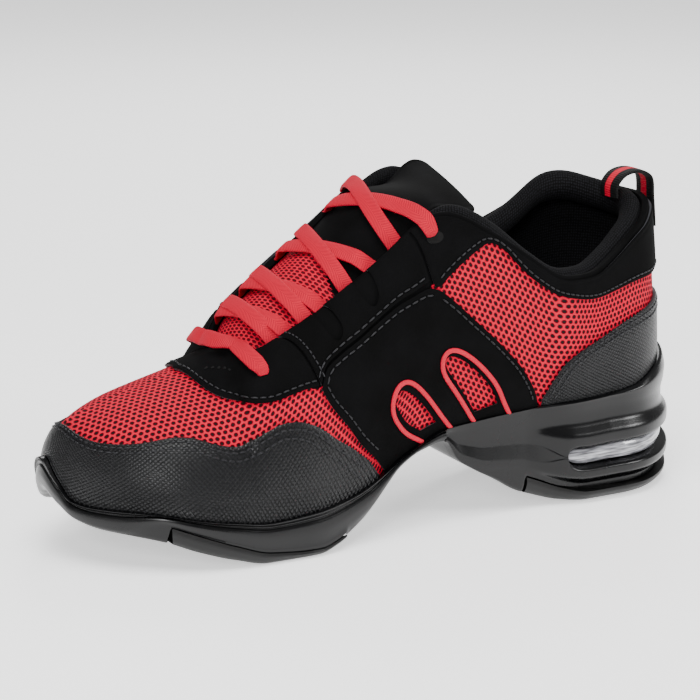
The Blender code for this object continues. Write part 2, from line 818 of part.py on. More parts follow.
def make_tongue():
    clear = UPPER_WALL + 2 * FIT_GAP
    sections = []
    for share in TONGUE_UNDER:
        places = [(math.copysign(turn_of(share), t or 1), 1 - FLANK * abs(t)) for t in TONGUE_STEPS]
        points = [surface(turn, rise) for turn, rise in places]
        outs = [surface_out(turn, rise) for turn, rise in places]
        sections.append(tongue_section(points, outs, [clear] * len(points)))
    for share in TONGUE_OPEN:
        found = [over_throat(share, t) for t in TONGUE_STEPS]
        low = ease((share - 0.70) / 0.04)
        deeper = 1 + 0.8 * ease((share - 0.715) / 0.02)
        drops = [clear * deeper * max(min(abs(t), 1.0) ** 2, low) for t in TONGUE_STEPS]
        sections.append(tongue_section([p for p, _ in found], [n for _, n in found], drops))
    for along, left, left_up, right, right_up, skew, arch in TONGUE_FREE:
        lateral = Vector((HEEL_BACK - along * SOLE_LENGTH, across(left * BALL_WIDTH), left_up * COLLAR_HEIGHT))
        medial = Vector((HEEL_BACK - (along + skew) * SOLE_LENGTH, across(right * BALL_WIDTH),
                         right_up * COLLAR_HEIGHT))
        chord = medial - lateral
        out = chord.cross(Vector((-1, 0, 0.15))).normalized()
        if out.z < 0:
            out = -out
        steps = [t / TONGUE_STEPS[-1] for t in TONGUE_STEPS]
        middle = (lateral + medial) / 2
        points = [middle + chord * (t / 2) + out * (arch * chord.length * (1 - t * t)) for t in steps]
        sections.append(tongue_section(points, [out] * len(steps), [0.0] * len(steps)))
    return loft_tube("tongue", sections, "black_textile")


def strap(name, path, outs, width, thickness, material):
    """A flat strap along a path, its flat side square to the given directions."""
    sections = []
    for i, (point, out) in enumerate(zip(path, outs)):
        along = path[min(i + 1, len(path) - 1)] - path[max(i - 1, 0)]
        wide = along.cross(out).normalized() * (width / 2)
        thick = out.normalized() * (thickness / 2)
        sections.append([
            point - wide - thick, point + wide - thick, point + wide + thick, point - wide + thick,
        ])
    return loft_tube(name, sections, material)


LACE_STEPS = (-0.93, -0.7, -0.35, 0.0, 0.35, 0.7, 0.93)
LACE_BASE = FIT_GAP * 3 + LACE_THICKNESS / 2
# Each crossing's lower and upper end, as shares of the sole's length
CROSSINGS = [
    (0.695, 0.676),
    (0.649, 0.627),
    (0.597, 0.566),
    (0.536, 0.500),
]


def lace_path(low, high, direction, raised):
    path = []
    outs = []
    for t in LACE_STEPS:
        share = low + (high - low) * (1 + direction * t) / 2
        point, out = over_throat(share, t)
        lift = LACE_BASE + (raised * 0.55 * (1 - abs(t)) ** 0.5 + 0.5 * t * t) * LACE_THICKNESS
        path.append(point + out * lift)
        outs.append(out)
    return path, outs


def make_laces():
    for number, (low, high) in enumerate(CROSSINGS, 1):
        name = f"lace_cross_{number}"
        over = number % 2 * 2 - 1
        under_strap = strap(name, *lace_path(low, high, -over, 0), LACE_WIDTH, LACE_THICKNESS, "red_cord")
        over_strap = strap(name + "_over", *lace_path(low, high, over, 1), LACE_WIDTH, LACE_THICKNESS, None)
        cut(under_strap, [over_strap], "UNION")
    steps = (-2.35, -1.9, -1.45, -1.1, -0.6, 0.0, 0.6, 1.1, 1.45, 1.9, 2.35)
    path = []
    outs = []
    for t in steps:
        share = 0.722 + 0.012 * (1 - min(abs(t), 1.5) / 1.5)
        point, out = over_throat(share, t)
        path.append(point + out * (5 * FIT_GAP + OVERLAY + LACE_THICKNESS / 2))
        outs.append(out)
    strap("lace_bar", path, outs, LACE_WIDTH, LACE_THICKNESS, "red_cord")


# Collar roll and pull loop

def make_collar_roll():
    """The padded roll just inside the collar's top edge, thinner towards the throat."""
    front = turn_of(0.455)
    turns = spread(-front, front, 31)
    sides = 8
    sections = []
    for turn in turns:
        full = ease((front - abs(turn)) / 0.10)
        wide = ROLL_WIDTH / 2 * (0.45 + 0.55 * full)
        high = ROLL_HEIGHT / 2 * (0.60 + 0.40 * full)
        out = surface_out(turn, 1.0)
        up = (surface(turn, 1.0) - surface(turn, 0.95)).normalized()
        centre = surface(turn, 1.0) - out * (UPPER_WALL + 2 * FIT_GAP + wide) - up * (high * 0.45)
        angles = [2 * math.pi * i / sides for i in range(sides)]
        sections.append([centre + out * (wide * math.cos(a)) + up * (high * math.sin(a)) for a in angles])
    return loft_tube("collar_roll", sections, "black_textile")


# The loop's path from inside the collar up over its edge, in shares of LOOP_HEIGHT from the top of the heel,
# and the rises where its outer leg lies on the upper
# Columns: back, up
LOOP_PATH = [
    (-1.42, 0.00),
    (-1.40, 0.50),
    (-1.00, 0.90),
    (-0.35, 0.98),
    (0.20, 0.70),
]
LOOP_LEG = (0.985, 0.94, 0.88, 0.82)


def make_pull_loop():
    top = top_line(0.0)
    path = [top + Vector((back, 0, up)) * LOOP_HEIGHT for back, up in LOOP_PATH]
    path += [wall_point(0.0, rise, OVERLAY + 3 * FIT_GAP + WEBBING / 2) for rise in LOOP_LEG]
    outs = []
    for i in range(len(path)):
        along = path[min(i + 1, len(path) - 1)] - path[max(i - 1, 0)]
        outs.append(Vector((-along.z, 0, along.x)).normalized())
    return strap("pull_loop", path, outs, LOOP_WIDTH, WEBBING, "black_textile")


# Covers: each is a plan of (share, rise) points, cut out of a shell between two forms just outside the upper

EDGE_RISE = 0.985
RIM_MARGIN = 0.020
COVER_GAP = 2 * FIT_GAP
SLIVER = 0.0001


def rim_run(start, end):
    """Points just above the sole's rim between two signed shares, by way of every station between them."""
    first = turn_of(start)
    last = turn_of(end)
    inside = [turn for turn in full_round() if min(first, last) < turn < max(first, last)]
    turns = [first] + sorted(inside, reverse=first > last) + [last]
    return [(turn, rim_rise(turn) + RIM_MARGIN) for turn in turns]


def toe_rim_run(start, end):
    """The same round the toe, counted from the toe's tip, from the lateral side to the medial."""
    left = [turn - 1 for turn in full_round() if turn > turn_of(abs(start))]
    places = [turn_of(abs(start)) - 1] + sorted(left)
    right = [-place for place in places if place < 0][::-1]
    scale = (1 - turn_of(abs(end))) / (1 - turn_of(abs(start)))
    places += [0.0] + [place * scale for place in right]
    return [(place, rim_rise(wrap(1 + place)) + RIM_MARGIN) for place in places]


def to_turns(points):
    return [(turn_of(share), rise) for share, rise in points]


def to_toe(points):
    """Signed shares become the way from the toe's tip, negative on the lateral side."""
    return [(math.copysign(1 - turn_of(abs(share)), share), rise) for share, rise in points]


def place_round(x, y, lift):
    return wall_point(x, y, lift)


def place_toe(x, y, lift):
    return wall_point(wrap(1 + x), y, lift)


def place_ridge(x, y, lift):
    return wall_point(math.copysign(x, y), 1 - abs(y), lift)


def cell_lines(values, low, high):
    """Grid lines between two limits, with one just past each."""
    inside = sorted(v for v in set(round(v, 6) for v in values) if low < v < high)
    margin = 0.01
    kept = [low - margin]
    kept += [v for v in inside if v - low > 0.002 and high - v > 0.002]
    return kept + [high + margin]


def slab(xs, ys):
    """A flat slab from height 0 to 1 with its top and bottom divided along the given lines."""
    points = [(x, y, z) for z in (0, 1) for x in xs for y in ys]
    rows = len(ys)
    layer = len(xs) * rows
    faces = []
    for i in range(len(xs) - 1):
        for j in range(rows - 1):
            a = i * rows + j
            faces.append((a, a + 1, a + rows + 1, a + rows))
            faces.append(tuple(layer + k for k in (a, a + rows, a + rows + 1, a + 1)))
    for i in range(len(xs) - 1):
        for j in (0, rows - 1):
            a = i * rows + j
            faces.append((a, a + rows, a + rows + layer, a + layer))
    for j in range(rows - 1):
        for i in (0, len(xs) - 1):
            a = i * rows + j
            faces.append((a, a + 1, a + 1 + layer, a + layer))
    return mesh_from("slab", points, faces)


def plan_prism(name, loops):
    """A flat 2D curve through closed loops, thickened past the slab, as a mesh."""
    data = bpy.data.curves.new(name, "CURVE")
    data.dimensions = "2D"
    data.fill_mode = "BOTH"
    data.extrude = 1.0
    for loop in loops:
        spline = data.splines.new("POLY")
        spline.points.add(len(loop) - 1)
        for point, (x, y) in zip(spline.points, loop):
            point.co = (x, y, 0, 1)
        spline.use_cyclic_u = True
    holder = bpy.data.objects.new(name, data)
    cutters.objects.link(holder)
    bpy.context.view_layer.update()
    graph = bpy.context.evaluated_depsgraph_get()
    mesh = bpy.data.meshes.new_from_object(holder.evaluated_get(graph))
    mesh.transform(Matrix.Translation((0, 0, 0.5)))
    bpy.data.objects.remove(holder, do_unlink=True)
    work = bmesh.new()
    work.from_mesh(mesh)
    bmesh.ops.remove_doubles(work, verts=work.verts, dist=1e-6)
    bmesh.ops.recalc_face_normals(work, faces=work.faces)
    work.to_mesh(mesh)
    work.free()
    made = bpy.data.objects.new(name, mesh)
    cutters.objects.link(made)
    made.hide_render = True
    made.display_type = "WIRE"
    return made


def closed_loop(runs):
    loop = []
    for run in runs:
        for point in run:
            if not loop or math.dist(loop[-1], point) > 1e-5:
                loop.append(point)
    if math.dist(loop[0], loop[-1]) < 1e-5:
        loop.pop()
    return loop


def cover(name, material, loops, place, lines, low=COVER_GAP, thickness=OVERLAY):
    """Cuts a plan out of a slab that has the upper's own grid, and lays it round the upper."""
    outline = loops[0]
    xs = cell_lines(lines[0], min(p[0] for p in outline), max(p[0] for p in outline))
    ys = cell_lines(lines[1], min(p[1] for p in outline), max(p[1] for p in outline))
    blank = add_object(name + "_blank", slab(xs, ys), None, cutters)
    tool = plan_prism(name + "_plan", loops)
    modifier = blank.modifiers.new("plan", "BOOLEAN")
    modifier.operation = "INTERSECT"
    modifier.solver = "EXACT"
    modifier.object = tool
    bpy.context.view_layer.update()
    graph = bpy.context.evaluated_depsgraph_get()
    mesh = bpy.data.meshes.new_from_object(blank.evaluated_get(graph))
    mesh.name = name
    for vertex in mesh.vertices:
        x, y, z = vertex.co
        vertex.co = place(x, y, low + thickness * round(z))
    bpy.data.objects.remove(blank, do_unlink=True)
    bpy.data.objects.remove(tool, do_unlink=True)
    work = bmesh.new()
    work.from_mesh(mesh)
    bmesh.ops.remove_doubles(work, verts=work.verts, dist=SLIVER)
    bmesh.ops.dissolve_degenerate(work, edges=work.edges, dist=SLIVER)
    bmesh.ops.triangulate(work, faces=work.faces)
    bmesh.ops.recalc_face_normals(work, faces=work.faces)
    work.to_mesh(mesh)
    work.free()
    return shade(add_object(name, mesh, material))


def round_lines():
    return full_round(), UPPER_RISES


def toe_lines():
    return [(turn - 1) if turn > 0 else (turn + 1) for turn in full_round()], UPPER_RISES


def ridge_lines():
    return full_round(), [1 - r for r in UPPER_RISES] + [r - 1 for r in UPPER_RISES]


# Plans, as runs of (share, rise) points that meet at their corners

TOE_CAP_EDGE = [
    (0.570, 0.105), (0.598, 0.185), (0.625, 0.255), (0.653, 0.335), (0.676, 0.382),
    (0.693, 0.405), (0.712, 0.420), (0.731, 0.405), (0.751, 0.378), (0.773, 0.363), (0.795, 0.386),
    (0.816, 0.422), (0.836, 0.460), (0.859, 0.480), (0.881, 0.478), (0.902, 0.468), (0.922, 0.468),
    (0.942, 0.478), (0.961, 0.500), (0.981, 0.550), (0.997, 0.610),
]
STAY_EDGE = [
    (0.816, -0.050), (0.804, -0.220), (0.789, -0.336), (0.769, -0.410), (0.746, -0.446), (0.723, -0.458),
    (0.696, -0.470), (0.669, -0.480), (0.648, -0.495),
]
STAY_THROAT = [(0.692, -0.015), (0.715, -0.015), (0.738, -0.018), (0.752, -0.030)]
EYESTAY_FRONT = [(0.6445, 0.500), (0.6895, EDGE_RISE)]
EYESTAY_NOTCHES = [
    [(0.642, EDGE_RISE), (0.633, 0.820), (0.622, 0.690), (0.611, 0.645), (0.607, 0.700), (0.615, 0.820),
     (0.626, EDGE_RISE)],
    [(0.591, EDGE_RISE), (0.583, 0.840), (0.571, 0.720), (0.560, 0.680), (0.557, 0.735), (0.563, 0.840),
     (0.572, EDGE_RISE)],
]
EYESTAY_REAR = [(0.519, EDGE_RISE), (0.480, 0.632)]
EYESTAY_SEAM = [
    (0.480, 0.632), (0.502, 0.606), (0.532, 0.612), (0.558, 0.606), (0.584, 0.594), (0.611, 0.590),
    (0.634, 0.570),
    (0.6445, 0.500),
]
PANEL_SEAM = [
    (0.6445, 0.483), (0.633, 0.555), (0.611, 0.574), (0.584, 0.578), (0.558, 0.590), (0.532, 0.594),
    (0.502, 0.586),
    (0.478, 0.600), (0.462, 0.592),
]
PANEL_REAR = [
    (0.462, 0.592), (0.447, 0.574), (0.425, 0.548), (0.399, 0.512), (0.373, 0.472), (0.346, 0.420),
    (0.318, 0.345),
    (0.298, 0.255), (0.285, 0.165), (0.280, 0.105),
]
PANEL_FRONT = [(0.556, 0.085), (0.584, 0.180), (0.608, 0.284), (0.632, 0.392), (0.6445, 0.483)]
PANEL_WINDOWS = [
    [(0.478, 0.058), (0.502, 0.112), (0.518, 0.185), (0.530, 0.245), (0.525, 0.268), (0.509, 0.245),
     (0.495, 0.208),
     (0.474, 0.148), (0.461, 0.102), (0.450, 0.062)],
    [(0.386, 0.080), (0.393, 0.116), (0.415, 0.206), (0.436, 0.268), (0.449, 0.306), (0.442, 0.338),
     (0.420, 0.335),
     (0.398, 0.302), (0.374, 0.246), (0.357, 0.186), (0.348, 0.115)],
]
COLLAR_EDGE = [
    (0.462, 0.618), (0.456, 0.655), (0.445, 0.718), (0.432, 0.799), (0.419, 0.880), (0.409, 0.930),
    (0.396, 0.948),
    (0.378, 0.938), (0.362, 0.915), (0.336, 0.888), (0.295, 0.873), (0.257, 0.861), (0.217, 0.830),
    (0.174, 0.803),
    (0.129, 0.765), (0.087, 0.722), (0.040, 0.665), (0.010, 0.635),
]
COLLAR_FRONT = [(0.462, 0.618), (0.476, 0.634), (0.5155, EDGE_RISE)]
COUNTER_EDGE = [
    (0.272, 0.110), (0.265, 0.165), (0.255, 0.255), (0.238, 0.371), (0.208, 0.456), (0.174, 0.505),
    (0.135, 0.530),
    (0.102, 0.528), (0.065, 0.520), (0.026, 0.505), (0.006, 0.498),
]


def make_toe_cap():
    edge_points = to_toe([(-share, rise) for share, rise in TOE_CAP_EDGE])
    middle = [(0.0, 0.618)]
    top = edge_points + middle + [(-x, y) for x, y in edge_points[::-1]]
    rim = toe_rim_run(-0.546, 0.546)
    loop = closed_loop([top, [top[-1], rim[-1]], rim[::-1], [rim[0], top[0]]])
    cover("toe_cap", "grained_leather", [loop], place_toe, toe_lines())


def make_throat_stay():
    lateral = to_turns(STAY_EDGE)
    outer = [(x, -y) for x, y in lateral[::-1]] + [(turn_of(0.821), 0.0)] + lateral
    throat = to_turns(STAY_THROAT)
    inner = throat + [(turn_of(0.764), 0.0)] + [(x, -y) for x, y in throat[::-1]]
    loop = closed_loop([outer, [outer[-1], inner[0]], inner, [inner[-1], outer[0]]])
    cover("throat_stay", "black_leather", [loop], place_ridge, ridge_lines(), low=2.5 * FIT_GAP)


def make_eyestay(side, name):
    top = [EYESTAY_FRONT[1]]
    runs = [EYESTAY_FRONT]
    for notch in EYESTAY_NOTCHES:
        runs += [[top[-1], notch[0]], notch]
        top = notch
    runs += [[top[-1], EYESTAY_REAR[0]], EYESTAY_REAR, EYESTAY_SEAM]
    loop = closed_loop([to_turns(run) for run in runs])
    loop = [(side * x, y) for x, y in loop]
    cover(f"eyestay_{name}", "black_leather", [loop], place_round, round_lines())


def make_side_panel(side, name):
    rim = rim_run(0.277, 0.541)
    loop = closed_loop([to_turns(PANEL_FRONT), to_turns(PANEL_SEAM), to_turns(PANEL_REAR), rim])
    windows = [closed_loop([to_turns(points + points[:1])]) for points in PANEL_WINDOWS]
    loops = [[(side * x, y) for x, y in found] for found in [loop] + windows]
    cover(f"side_panel_{name}", "black_leather", loops, place_round, round_lines())


def make_collar_band():
    low = to_turns(COLLAR_EDGE)
    front = to_turns(COLLAR_FRONT)
    lower = [(-x, y) for x, y in low] + [(0.0, 0.630)] + low[::-1]
    top = [front[-1], (-front[-1][0], EDGE_RISE)]
    loop = closed_loop([lower, front, top, [(-x, y) for x, y in front[::-1]]])
    cover("collar_band", "black_leather", [loop], place_round, round_lines())


def make_heel_counter():
    high = to_turns(COUNTER_EDGE)
    top = [(-x, y) for x, y in high] + [(0.0, 0.496)] + high[::-1]
    rim = rim_run(0.273, -0.273)
    loop = closed_loop([top, rim])
    cover("heel_counter", "grained_leather", [loop], place_round, round_lines())


def set_off(points, distance):
    """A run of a plan moved sideways by a real distance, to its right as it goes."""
    moved = []
    step = 0.01
    for i, (x, y) in enumerate(points):
        before = points[max(i - 1, 0)]
        after = points[min(i + 1, len(points) - 1)]
        wide = (surface(x + step, y) - surface(x - step, y)).length / (2 * step)
        high = (surface(x, y + step) - surface(x, y - step)).length / (2 * step)
        along = Vector(((after[0] - before[0]) * wide, (after[1] - before[1]) * high)).normalized()
        moved.append((x + along.y * distance / wide, y - along.x * distance / high))
    return moved


def down_to_rim(run):
    """A run over a window with both its legs carried straight on to the sole's rim."""
    ends = []
    for first, second in ((run[0], run[1]), (run[-1], run[-2])):
        low = rim_rise(first[0]) + RIM_MARGIN + 0.005
        slope = (second[0] - first[0]) / (second[1] - first[1])
        ends.append((first[0] + (low - first[1]) * slope, low))
    return [ends[0]] + run[1:-1] + [ends[1]]


def make_piping(side, name):
    """A raised cord that arches over each window of the side panel."""
    for points, letter in zip(PANEL_WINDOWS, "ab"):
        window = to_turns(points)
        inner = down_to_rim(set_off(window, PIPING_INSET))
        outer = down_to_rim(set_off(window, PIPING_INSET + PIPING_WIDTH))
        loop = [(side * x, y) for x, y in outer + inner[::-1]]
        cover(f"piping_{name}_{letter}", "red_piping", [loop], place_round, round_lines(),
              low=COVER_GAP + OVERLAY + FIT_GAP, thickness=PIPING_HEIGHT)


make_midsole_heel()
make_midsole_forefoot()
make_outsoles()
make_air_cushion()
make_insole()
make_upper()
make_tongue()
make_collar_roll()
make_pull_loop()
make_laces()
make_toe_cap()
make_throat_stay()
make_collar_band()
make_heel_counter()
for side, name in ((-1, "lateral"), (1, "medial")):
    make_eyestay(side, name)
    make_side_panel(side, name)
    make_piping(side, name)
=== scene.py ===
import math
import bpy
import numpy as np
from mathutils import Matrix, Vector
from mathutils.geometry import delaunay_2d_cdt


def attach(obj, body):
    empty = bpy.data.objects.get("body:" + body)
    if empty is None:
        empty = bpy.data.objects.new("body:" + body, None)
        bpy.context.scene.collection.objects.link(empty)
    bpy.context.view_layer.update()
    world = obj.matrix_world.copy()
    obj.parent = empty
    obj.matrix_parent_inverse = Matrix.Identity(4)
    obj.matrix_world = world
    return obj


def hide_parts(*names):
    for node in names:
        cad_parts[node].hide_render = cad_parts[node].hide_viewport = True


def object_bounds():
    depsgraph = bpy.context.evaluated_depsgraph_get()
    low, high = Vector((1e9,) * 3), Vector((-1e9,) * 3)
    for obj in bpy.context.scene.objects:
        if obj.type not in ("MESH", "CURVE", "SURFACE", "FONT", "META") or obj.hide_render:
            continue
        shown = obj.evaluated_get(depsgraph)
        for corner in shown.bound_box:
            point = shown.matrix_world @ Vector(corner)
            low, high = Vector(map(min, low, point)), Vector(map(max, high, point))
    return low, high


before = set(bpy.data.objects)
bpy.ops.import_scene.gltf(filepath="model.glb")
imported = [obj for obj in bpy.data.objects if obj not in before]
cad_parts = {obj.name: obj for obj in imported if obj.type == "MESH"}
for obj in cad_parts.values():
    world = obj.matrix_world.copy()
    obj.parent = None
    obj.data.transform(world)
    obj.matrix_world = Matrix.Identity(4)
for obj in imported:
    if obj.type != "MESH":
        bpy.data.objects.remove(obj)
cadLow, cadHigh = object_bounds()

# Left dance sneaker, in metres: toe at -X, outer side at -Y, standing on z = 0.
# A place on the shoe is a signed share of the sole's length from the heel, minus on the outer side,
# and a rise from the sole to the top line.  A turn is the same way round, 0 at the heel and 1 at the toe.

shoe = {
    "soleLength": 0.262, "ballWidth": 0.097, "heelLift": 0.040, "collarHeight": 0.113,
    "wall": 0.0022, "overlay": 0.0012, "gap": 0.0003, "rimWidth": 0.003, "ribSwell": 0.0027,
    "padThick": 0.0048, "airSlot": 0.005, "throatEnd": 0.76, "split": 0.436, "slotEnd": 0.233,
    "heelRound": 0.135, "toeRound": 0.20, "roundPower": 2.1, "centreShare": 0.019,
}
heelBack = cadHigh.x - shoe["ribSwell"]
# metres up the upper's wall at its widest part, near enough for patterns and drawn outlines
planUp = 0.072

# share, lateral and medial edge, as shares of the ball's width
outline = [
    (0.00, -0.310, 0.310),
    (0.10, -0.350, 0.345),
    (0.20, -0.355, 0.345),
    (0.30, -0.340, 0.320),
    (0.40, -0.340, 0.290),
    (0.50, -0.370, 0.295),
    (0.60, -0.420, 0.350),
    (0.68, -0.450, 0.420),
    (0.76, -0.450, 0.475),
    (0.84, -0.425, 0.495),
    (0.92, -0.365, 0.475),
    (1.00, -0.250, 0.430),
]
# share, bottom, rim and bed, as shares of the heel's lift
heights = [
    (0.000, 0.100, 1.350, 1.000),
    (0.030, 0.025, 1.275, 0.990),
    (0.070, 0.005, 1.190, 0.975),
    (0.110, 0.000, 1.110, 0.975),
    (0.190, 0.000, 1.055, 0.960),
    (0.240, 0.045, 1.040, 0.955),
    (0.282, 0.130, 1.025, 0.945),
    (0.317, 0.225, 1.010, 0.935),
    (0.347, 0.350, 1.000, 0.925),
    (0.385, 0.490, 0.980, 0.915),
    (0.412, 0.610, 0.965, 0.908),
    (0.436, 0.820, 0.950, 0.895),
    (0.480, 0.775, 0.862, 0.820),
    (0.517, 0.655, 0.760, 0.705),
    (0.542, 0.490, 0.665, 0.595),
    (0.571, 0.285, 0.570, 0.495),
    (0.595, 0.170, 0.515, 0.430),
    (0.626, 0.055, 0.470, 0.375),
    (0.657, 0.000, 0.440, 0.345),
    (0.735, 0.000, 0.405, 0.315),
    (0.786, 0.075, 0.450, 0.350),
    (0.844, 0.190, 0.510, 0.425),
    (0.886, 0.285, 0.560, 0.475),
    (0.926, 0.335, 0.575, 0.510),
    (0.960, 0.365, 0.575, 0.525),
    (0.981, 0.420, 0.605, 0.550),
    (0.992, 0.500, 0.750, 0.600),
    (1.000, 0.600, 0.930, 0.650),
]
padThickness = [
    (0.000, 1.00),
    (0.200, 1.00),
    (0.300, 1.40),
    (0.600, 0.50),
    (0.680, 0.60),
    (0.750, 1.00),
    (0.860, 1.45),
    (1.000, 1.45),
]
# share, along, across, up: the collar's and throat's edge, then the vamp's ridge
lateralTop = [
    (0.000, 0.027, 0.000, 1.000),
    (0.020, 0.034, -0.093, 0.987),
    (0.050, 0.061, -0.175, 0.938),
    (0.090, 0.099, -0.227, 0.894),
    (0.140, 0.141, -0.268, 0.836),
    (0.200, 0.187, -0.309, 0.796),
    (0.260, 0.233, -0.325, 0.796),
    (0.320, 0.279, -0.320, 0.858),
    (0.380, 0.332, -0.304, 0.947),
    (0.430, 0.378, -0.289, 1.009),
    (0.470, 0.424, -0.268, 1.071),
    (0.500, 0.462, -0.242, 1.049),
    (0.525, 0.483, -0.216, 0.982),
    (0.560, 0.523, -0.206, 0.907),
    (0.600, 0.576, -0.201, 0.823),
    (0.645, 0.630, -0.196, 0.743),
    (0.690, 0.676, -0.186, 0.686),
    (0.720, 0.706, -0.155, 0.646),
    (0.745, 0.725, -0.082, 0.633),
    (0.760, 0.733, 0.021, 0.624),
]
medialTop = [
    (0.000, 0.027, 0.000, 1.000),
    (0.020, 0.034, 0.093, 1.004),
    (0.050, 0.061, 0.175, 1.018),
    (0.090, 0.099, 0.237, 1.027),
    (0.140, 0.141, 0.278, 1.004),
    (0.200, 0.187, 0.304, 0.956),
    (0.260, 0.240, 0.309, 0.903),
    (0.320, 0.286, 0.309, 0.872),
    (0.380, 0.340, 0.304, 0.912),
    (0.430, 0.393, 0.289, 1.000),
    (0.470, 0.443, 0.268, 1.080),
    (0.500, 0.477, 0.247, 1.097),
    (0.525, 0.508, 0.232, 1.044),
    (0.560, 0.553, 0.227, 0.960),
    (0.600, 0.607, 0.222, 0.876),
    (0.645, 0.660, 0.211, 0.783),
    (0.690, 0.702, 0.191, 0.708),
    (0.720, 0.725, 0.149, 0.655),
    (0.745, 0.735, 0.088, 0.633),
    (0.760, 0.733, 0.021, 0.624),
]
ridge = [
    (0.800, 0.775, 0.052, 0.580),
    (0.860, 0.832, 0.077, 0.535),
    (0.920, 0.878, 0.093, 0.504),
    (0.970, 0.908, 0.098, 0.482),
    (1.000, 0.920, 0.103, 0.473),
]
# share, low handle's rise and reach, high handle's way in, drop and reach
fullness = [
    (0.00, 0.33, -0.015, 0.00, 0.33, 0.030),
    (0.10, 0.33, 0.010, 0.10, 0.33, 0.020),
    (0.25, 0.33, 0.020, 0.25, 0.33, 0.020),
    (0.40, 0.36, 0.020, 0.35, 0.25, 0.010),
    (0.50, 0.42, 0.010, 0.40, 0.15, 0.000),
    (0.60, 0.50, 0.010, 0.42, 0.05, 0.000),
    (0.76, 0.56, 0.016, 0.50, 0.00, 0.000),
    (1.00, 0.60, 0.013, 0.59, 0.00, 0.000),
]


def curveAt(places, values, at, level=False):
    x = np.asarray(places, float)
    y = np.asarray(values, float)
    h = np.diff(x)
    d = np.diff(y) / h
    slopes = np.zeros_like(y)
    if not level:
        slopes[0], slopes[-1] = d[0], d[-1]
    w0 = 2 * h[1:] + h[:-1]
    w1 = h[1:] + 2 * h[:-1]
    same = d[:-1] * d[1:] > 0
    left = np.where(same, d[:-1], 1.0)
    right = np.where(same, d[1:], 1.0)
    slopes[1:-1] = np.where(same, (w0 + w1) / (w0 / left + w1 / right), 0.0)
    at = np.clip(np.asarray(at, float), x[0], x[-1])
    i = np.clip(np.searchsorted(x, at) - 1, 0, len(h) - 1)
    t = (at - x[i]) / h[i]
    start = (1 + 2 * t) * (1 - t) ** 2 * y[i] + t * (1 - t) ** 2 * h[i] * slopes[i]
    end = t * t * (3 - 2 * t) * y[i + 1] + t * t * (t - 1) * h[i] * slopes[i + 1]
    return start + end


def turnOf(share):
    share = np.asarray(share, float)
    return np.copysign(np.arccos(1 - 2 * np.minimum(np.abs(share), 1.0)) / np.pi, share)


def shareOf(turn):
    return (1 - np.cos(np.pi * np.asarray(turn, float))) / 2


def wrap(turn):
    return (np.asarray(turn, float) + 1) % 2 - 1


def ease(x):
    x = np.clip(x, 0.0, 1.0)
    return x * x * (3 - 2 * x)


def unit(vectors):
    return vectors / np.maximum(np.linalg.norm(vectors, axis=-1, keepdims=True), 1e-12)


def softStep(a, b, c, d, t):
    # the place a share t of the way from b to c on a soft curve through a, b, c and d
    return 0.5 * (2 * b + (c - a) * t + (2 * a - 5 * b + 4 * c - d) * t**2 + (3 * b - a - 3 * c + d) * t**3)


def circle(sides):
    angles = np.arange(sides) * 2 * np.pi / sides
    return np.cos(angles), np.sin(angles)


def lengthsAlong(points):
    # metres from the first point to each point of a row
    return np.concatenate([[0], np.cumsum(np.linalg.norm(np.diff(points, axis=0), axis=1))])


def alongSole(table, index, turn, size):
    places = turnOf([row[0] for row in table])
    return curveAt(places, [row[index] * size for row in table], np.abs(wrap(turn)), level=True)


def alongTop(index, turn, size):
    lateral = [(-turnOf(row[0]),) + row[1:] for row in lateralTop[1:] + ridge]
    medial = [(turnOf(row[0]),) + row[1:] for row in medialTop + ridge]
    rows = lateral[::-1] + medial
    return curveAt([row[0] for row in rows], [row[index] * size for row in rows], wrap(turn))


def bottomAt(turn):
    return alongSole(heights, 1, turn, shoe["heelLift"])


def rimAt(turn):
    return alongSole(heights, 2, turn, shoe["heelLift"])


def bedAt(turn):
    return alongSole(heights, 3, turn, shoe["heelLift"])


def edgeAt(turn):
    turn = wrap(turn)
    share = shareOf(turn)
    places = [row[0] for row in outline]
    left = curveAt(places, [row[1] for row in outline], share)
    right = curveAt(places, [row[2] for row in outline], share)
    heel = np.clip(1 - share / shoe["heelRound"], 0, 1)
    toe = np.clip(1 - (1 - share) / shoe["toeRound"], 0, 1)
    power = shoe["roundPower"]
    narrow = (1 - heel**power) ** (1 / power) * (1 - toe**power) ** (1 / power)
    half = (right - left) / 2 * narrow * np.where(turn > 0, 1, -1)
    y = ((left + right) / 2 + half - shoe["centreShare"]) * shoe["ballWidth"]
    return np.stack([heelBack - share * shoe["soleLength"], y, 0 * y], -1)


def edgeOut(turn):
    step = 0.002
    way = edgeAt(turn + step) - edgeAt(turn - step)
    return unit(np.stack([way[..., 1], -way[..., 0], 0 * way[..., 0]], -1))


def drawnTopLine(turn):
    y = alongTop(2, turn, shoe["ballWidth"]) - shoe["centreShare"] * shoe["ballWidth"]
    x = heelBack - alongTop(1, turn, shoe["soleLength"])
    return np.stack([x, y, alongTop(3, turn, shoe["collarHeight"])], -1)


topSoftness = {"samples": 4000, "spread": 26, "from": 0.66, "over": 0.03}


def softTopLine():
    # the drawn line with its corners rounded, unsoftened from the throat's front on
    look = topSoftness
    turns = np.linspace(-1, 1, look["samples"] + 1)
    drawn = drawnTopLine(turns)
    reach = 3 * look["spread"]
    weights = np.exp(-0.5 * (np.arange(-reach, reach + 1) / look["spread"]) ** 2)
    padded = np.concatenate([drawn[-reach - 1:-1], drawn, drawn[1:reach + 1]])
    soft = np.stack([np.convolve(padded[:, i], weights / weights.sum(), "valid") for i in range(3)], -1)
    share = ease((look["from"] - shareOf(turns)) / look["over"])[:, None]
    return turns, soft * share + drawn * (1 - share)


topTurns, topPlaces = softTopLine()


def topLine(turn):
    return np.stack([np.interp(wrap(turn), topTurns, topPlaces[:, i]) for i in range(3)], -1)


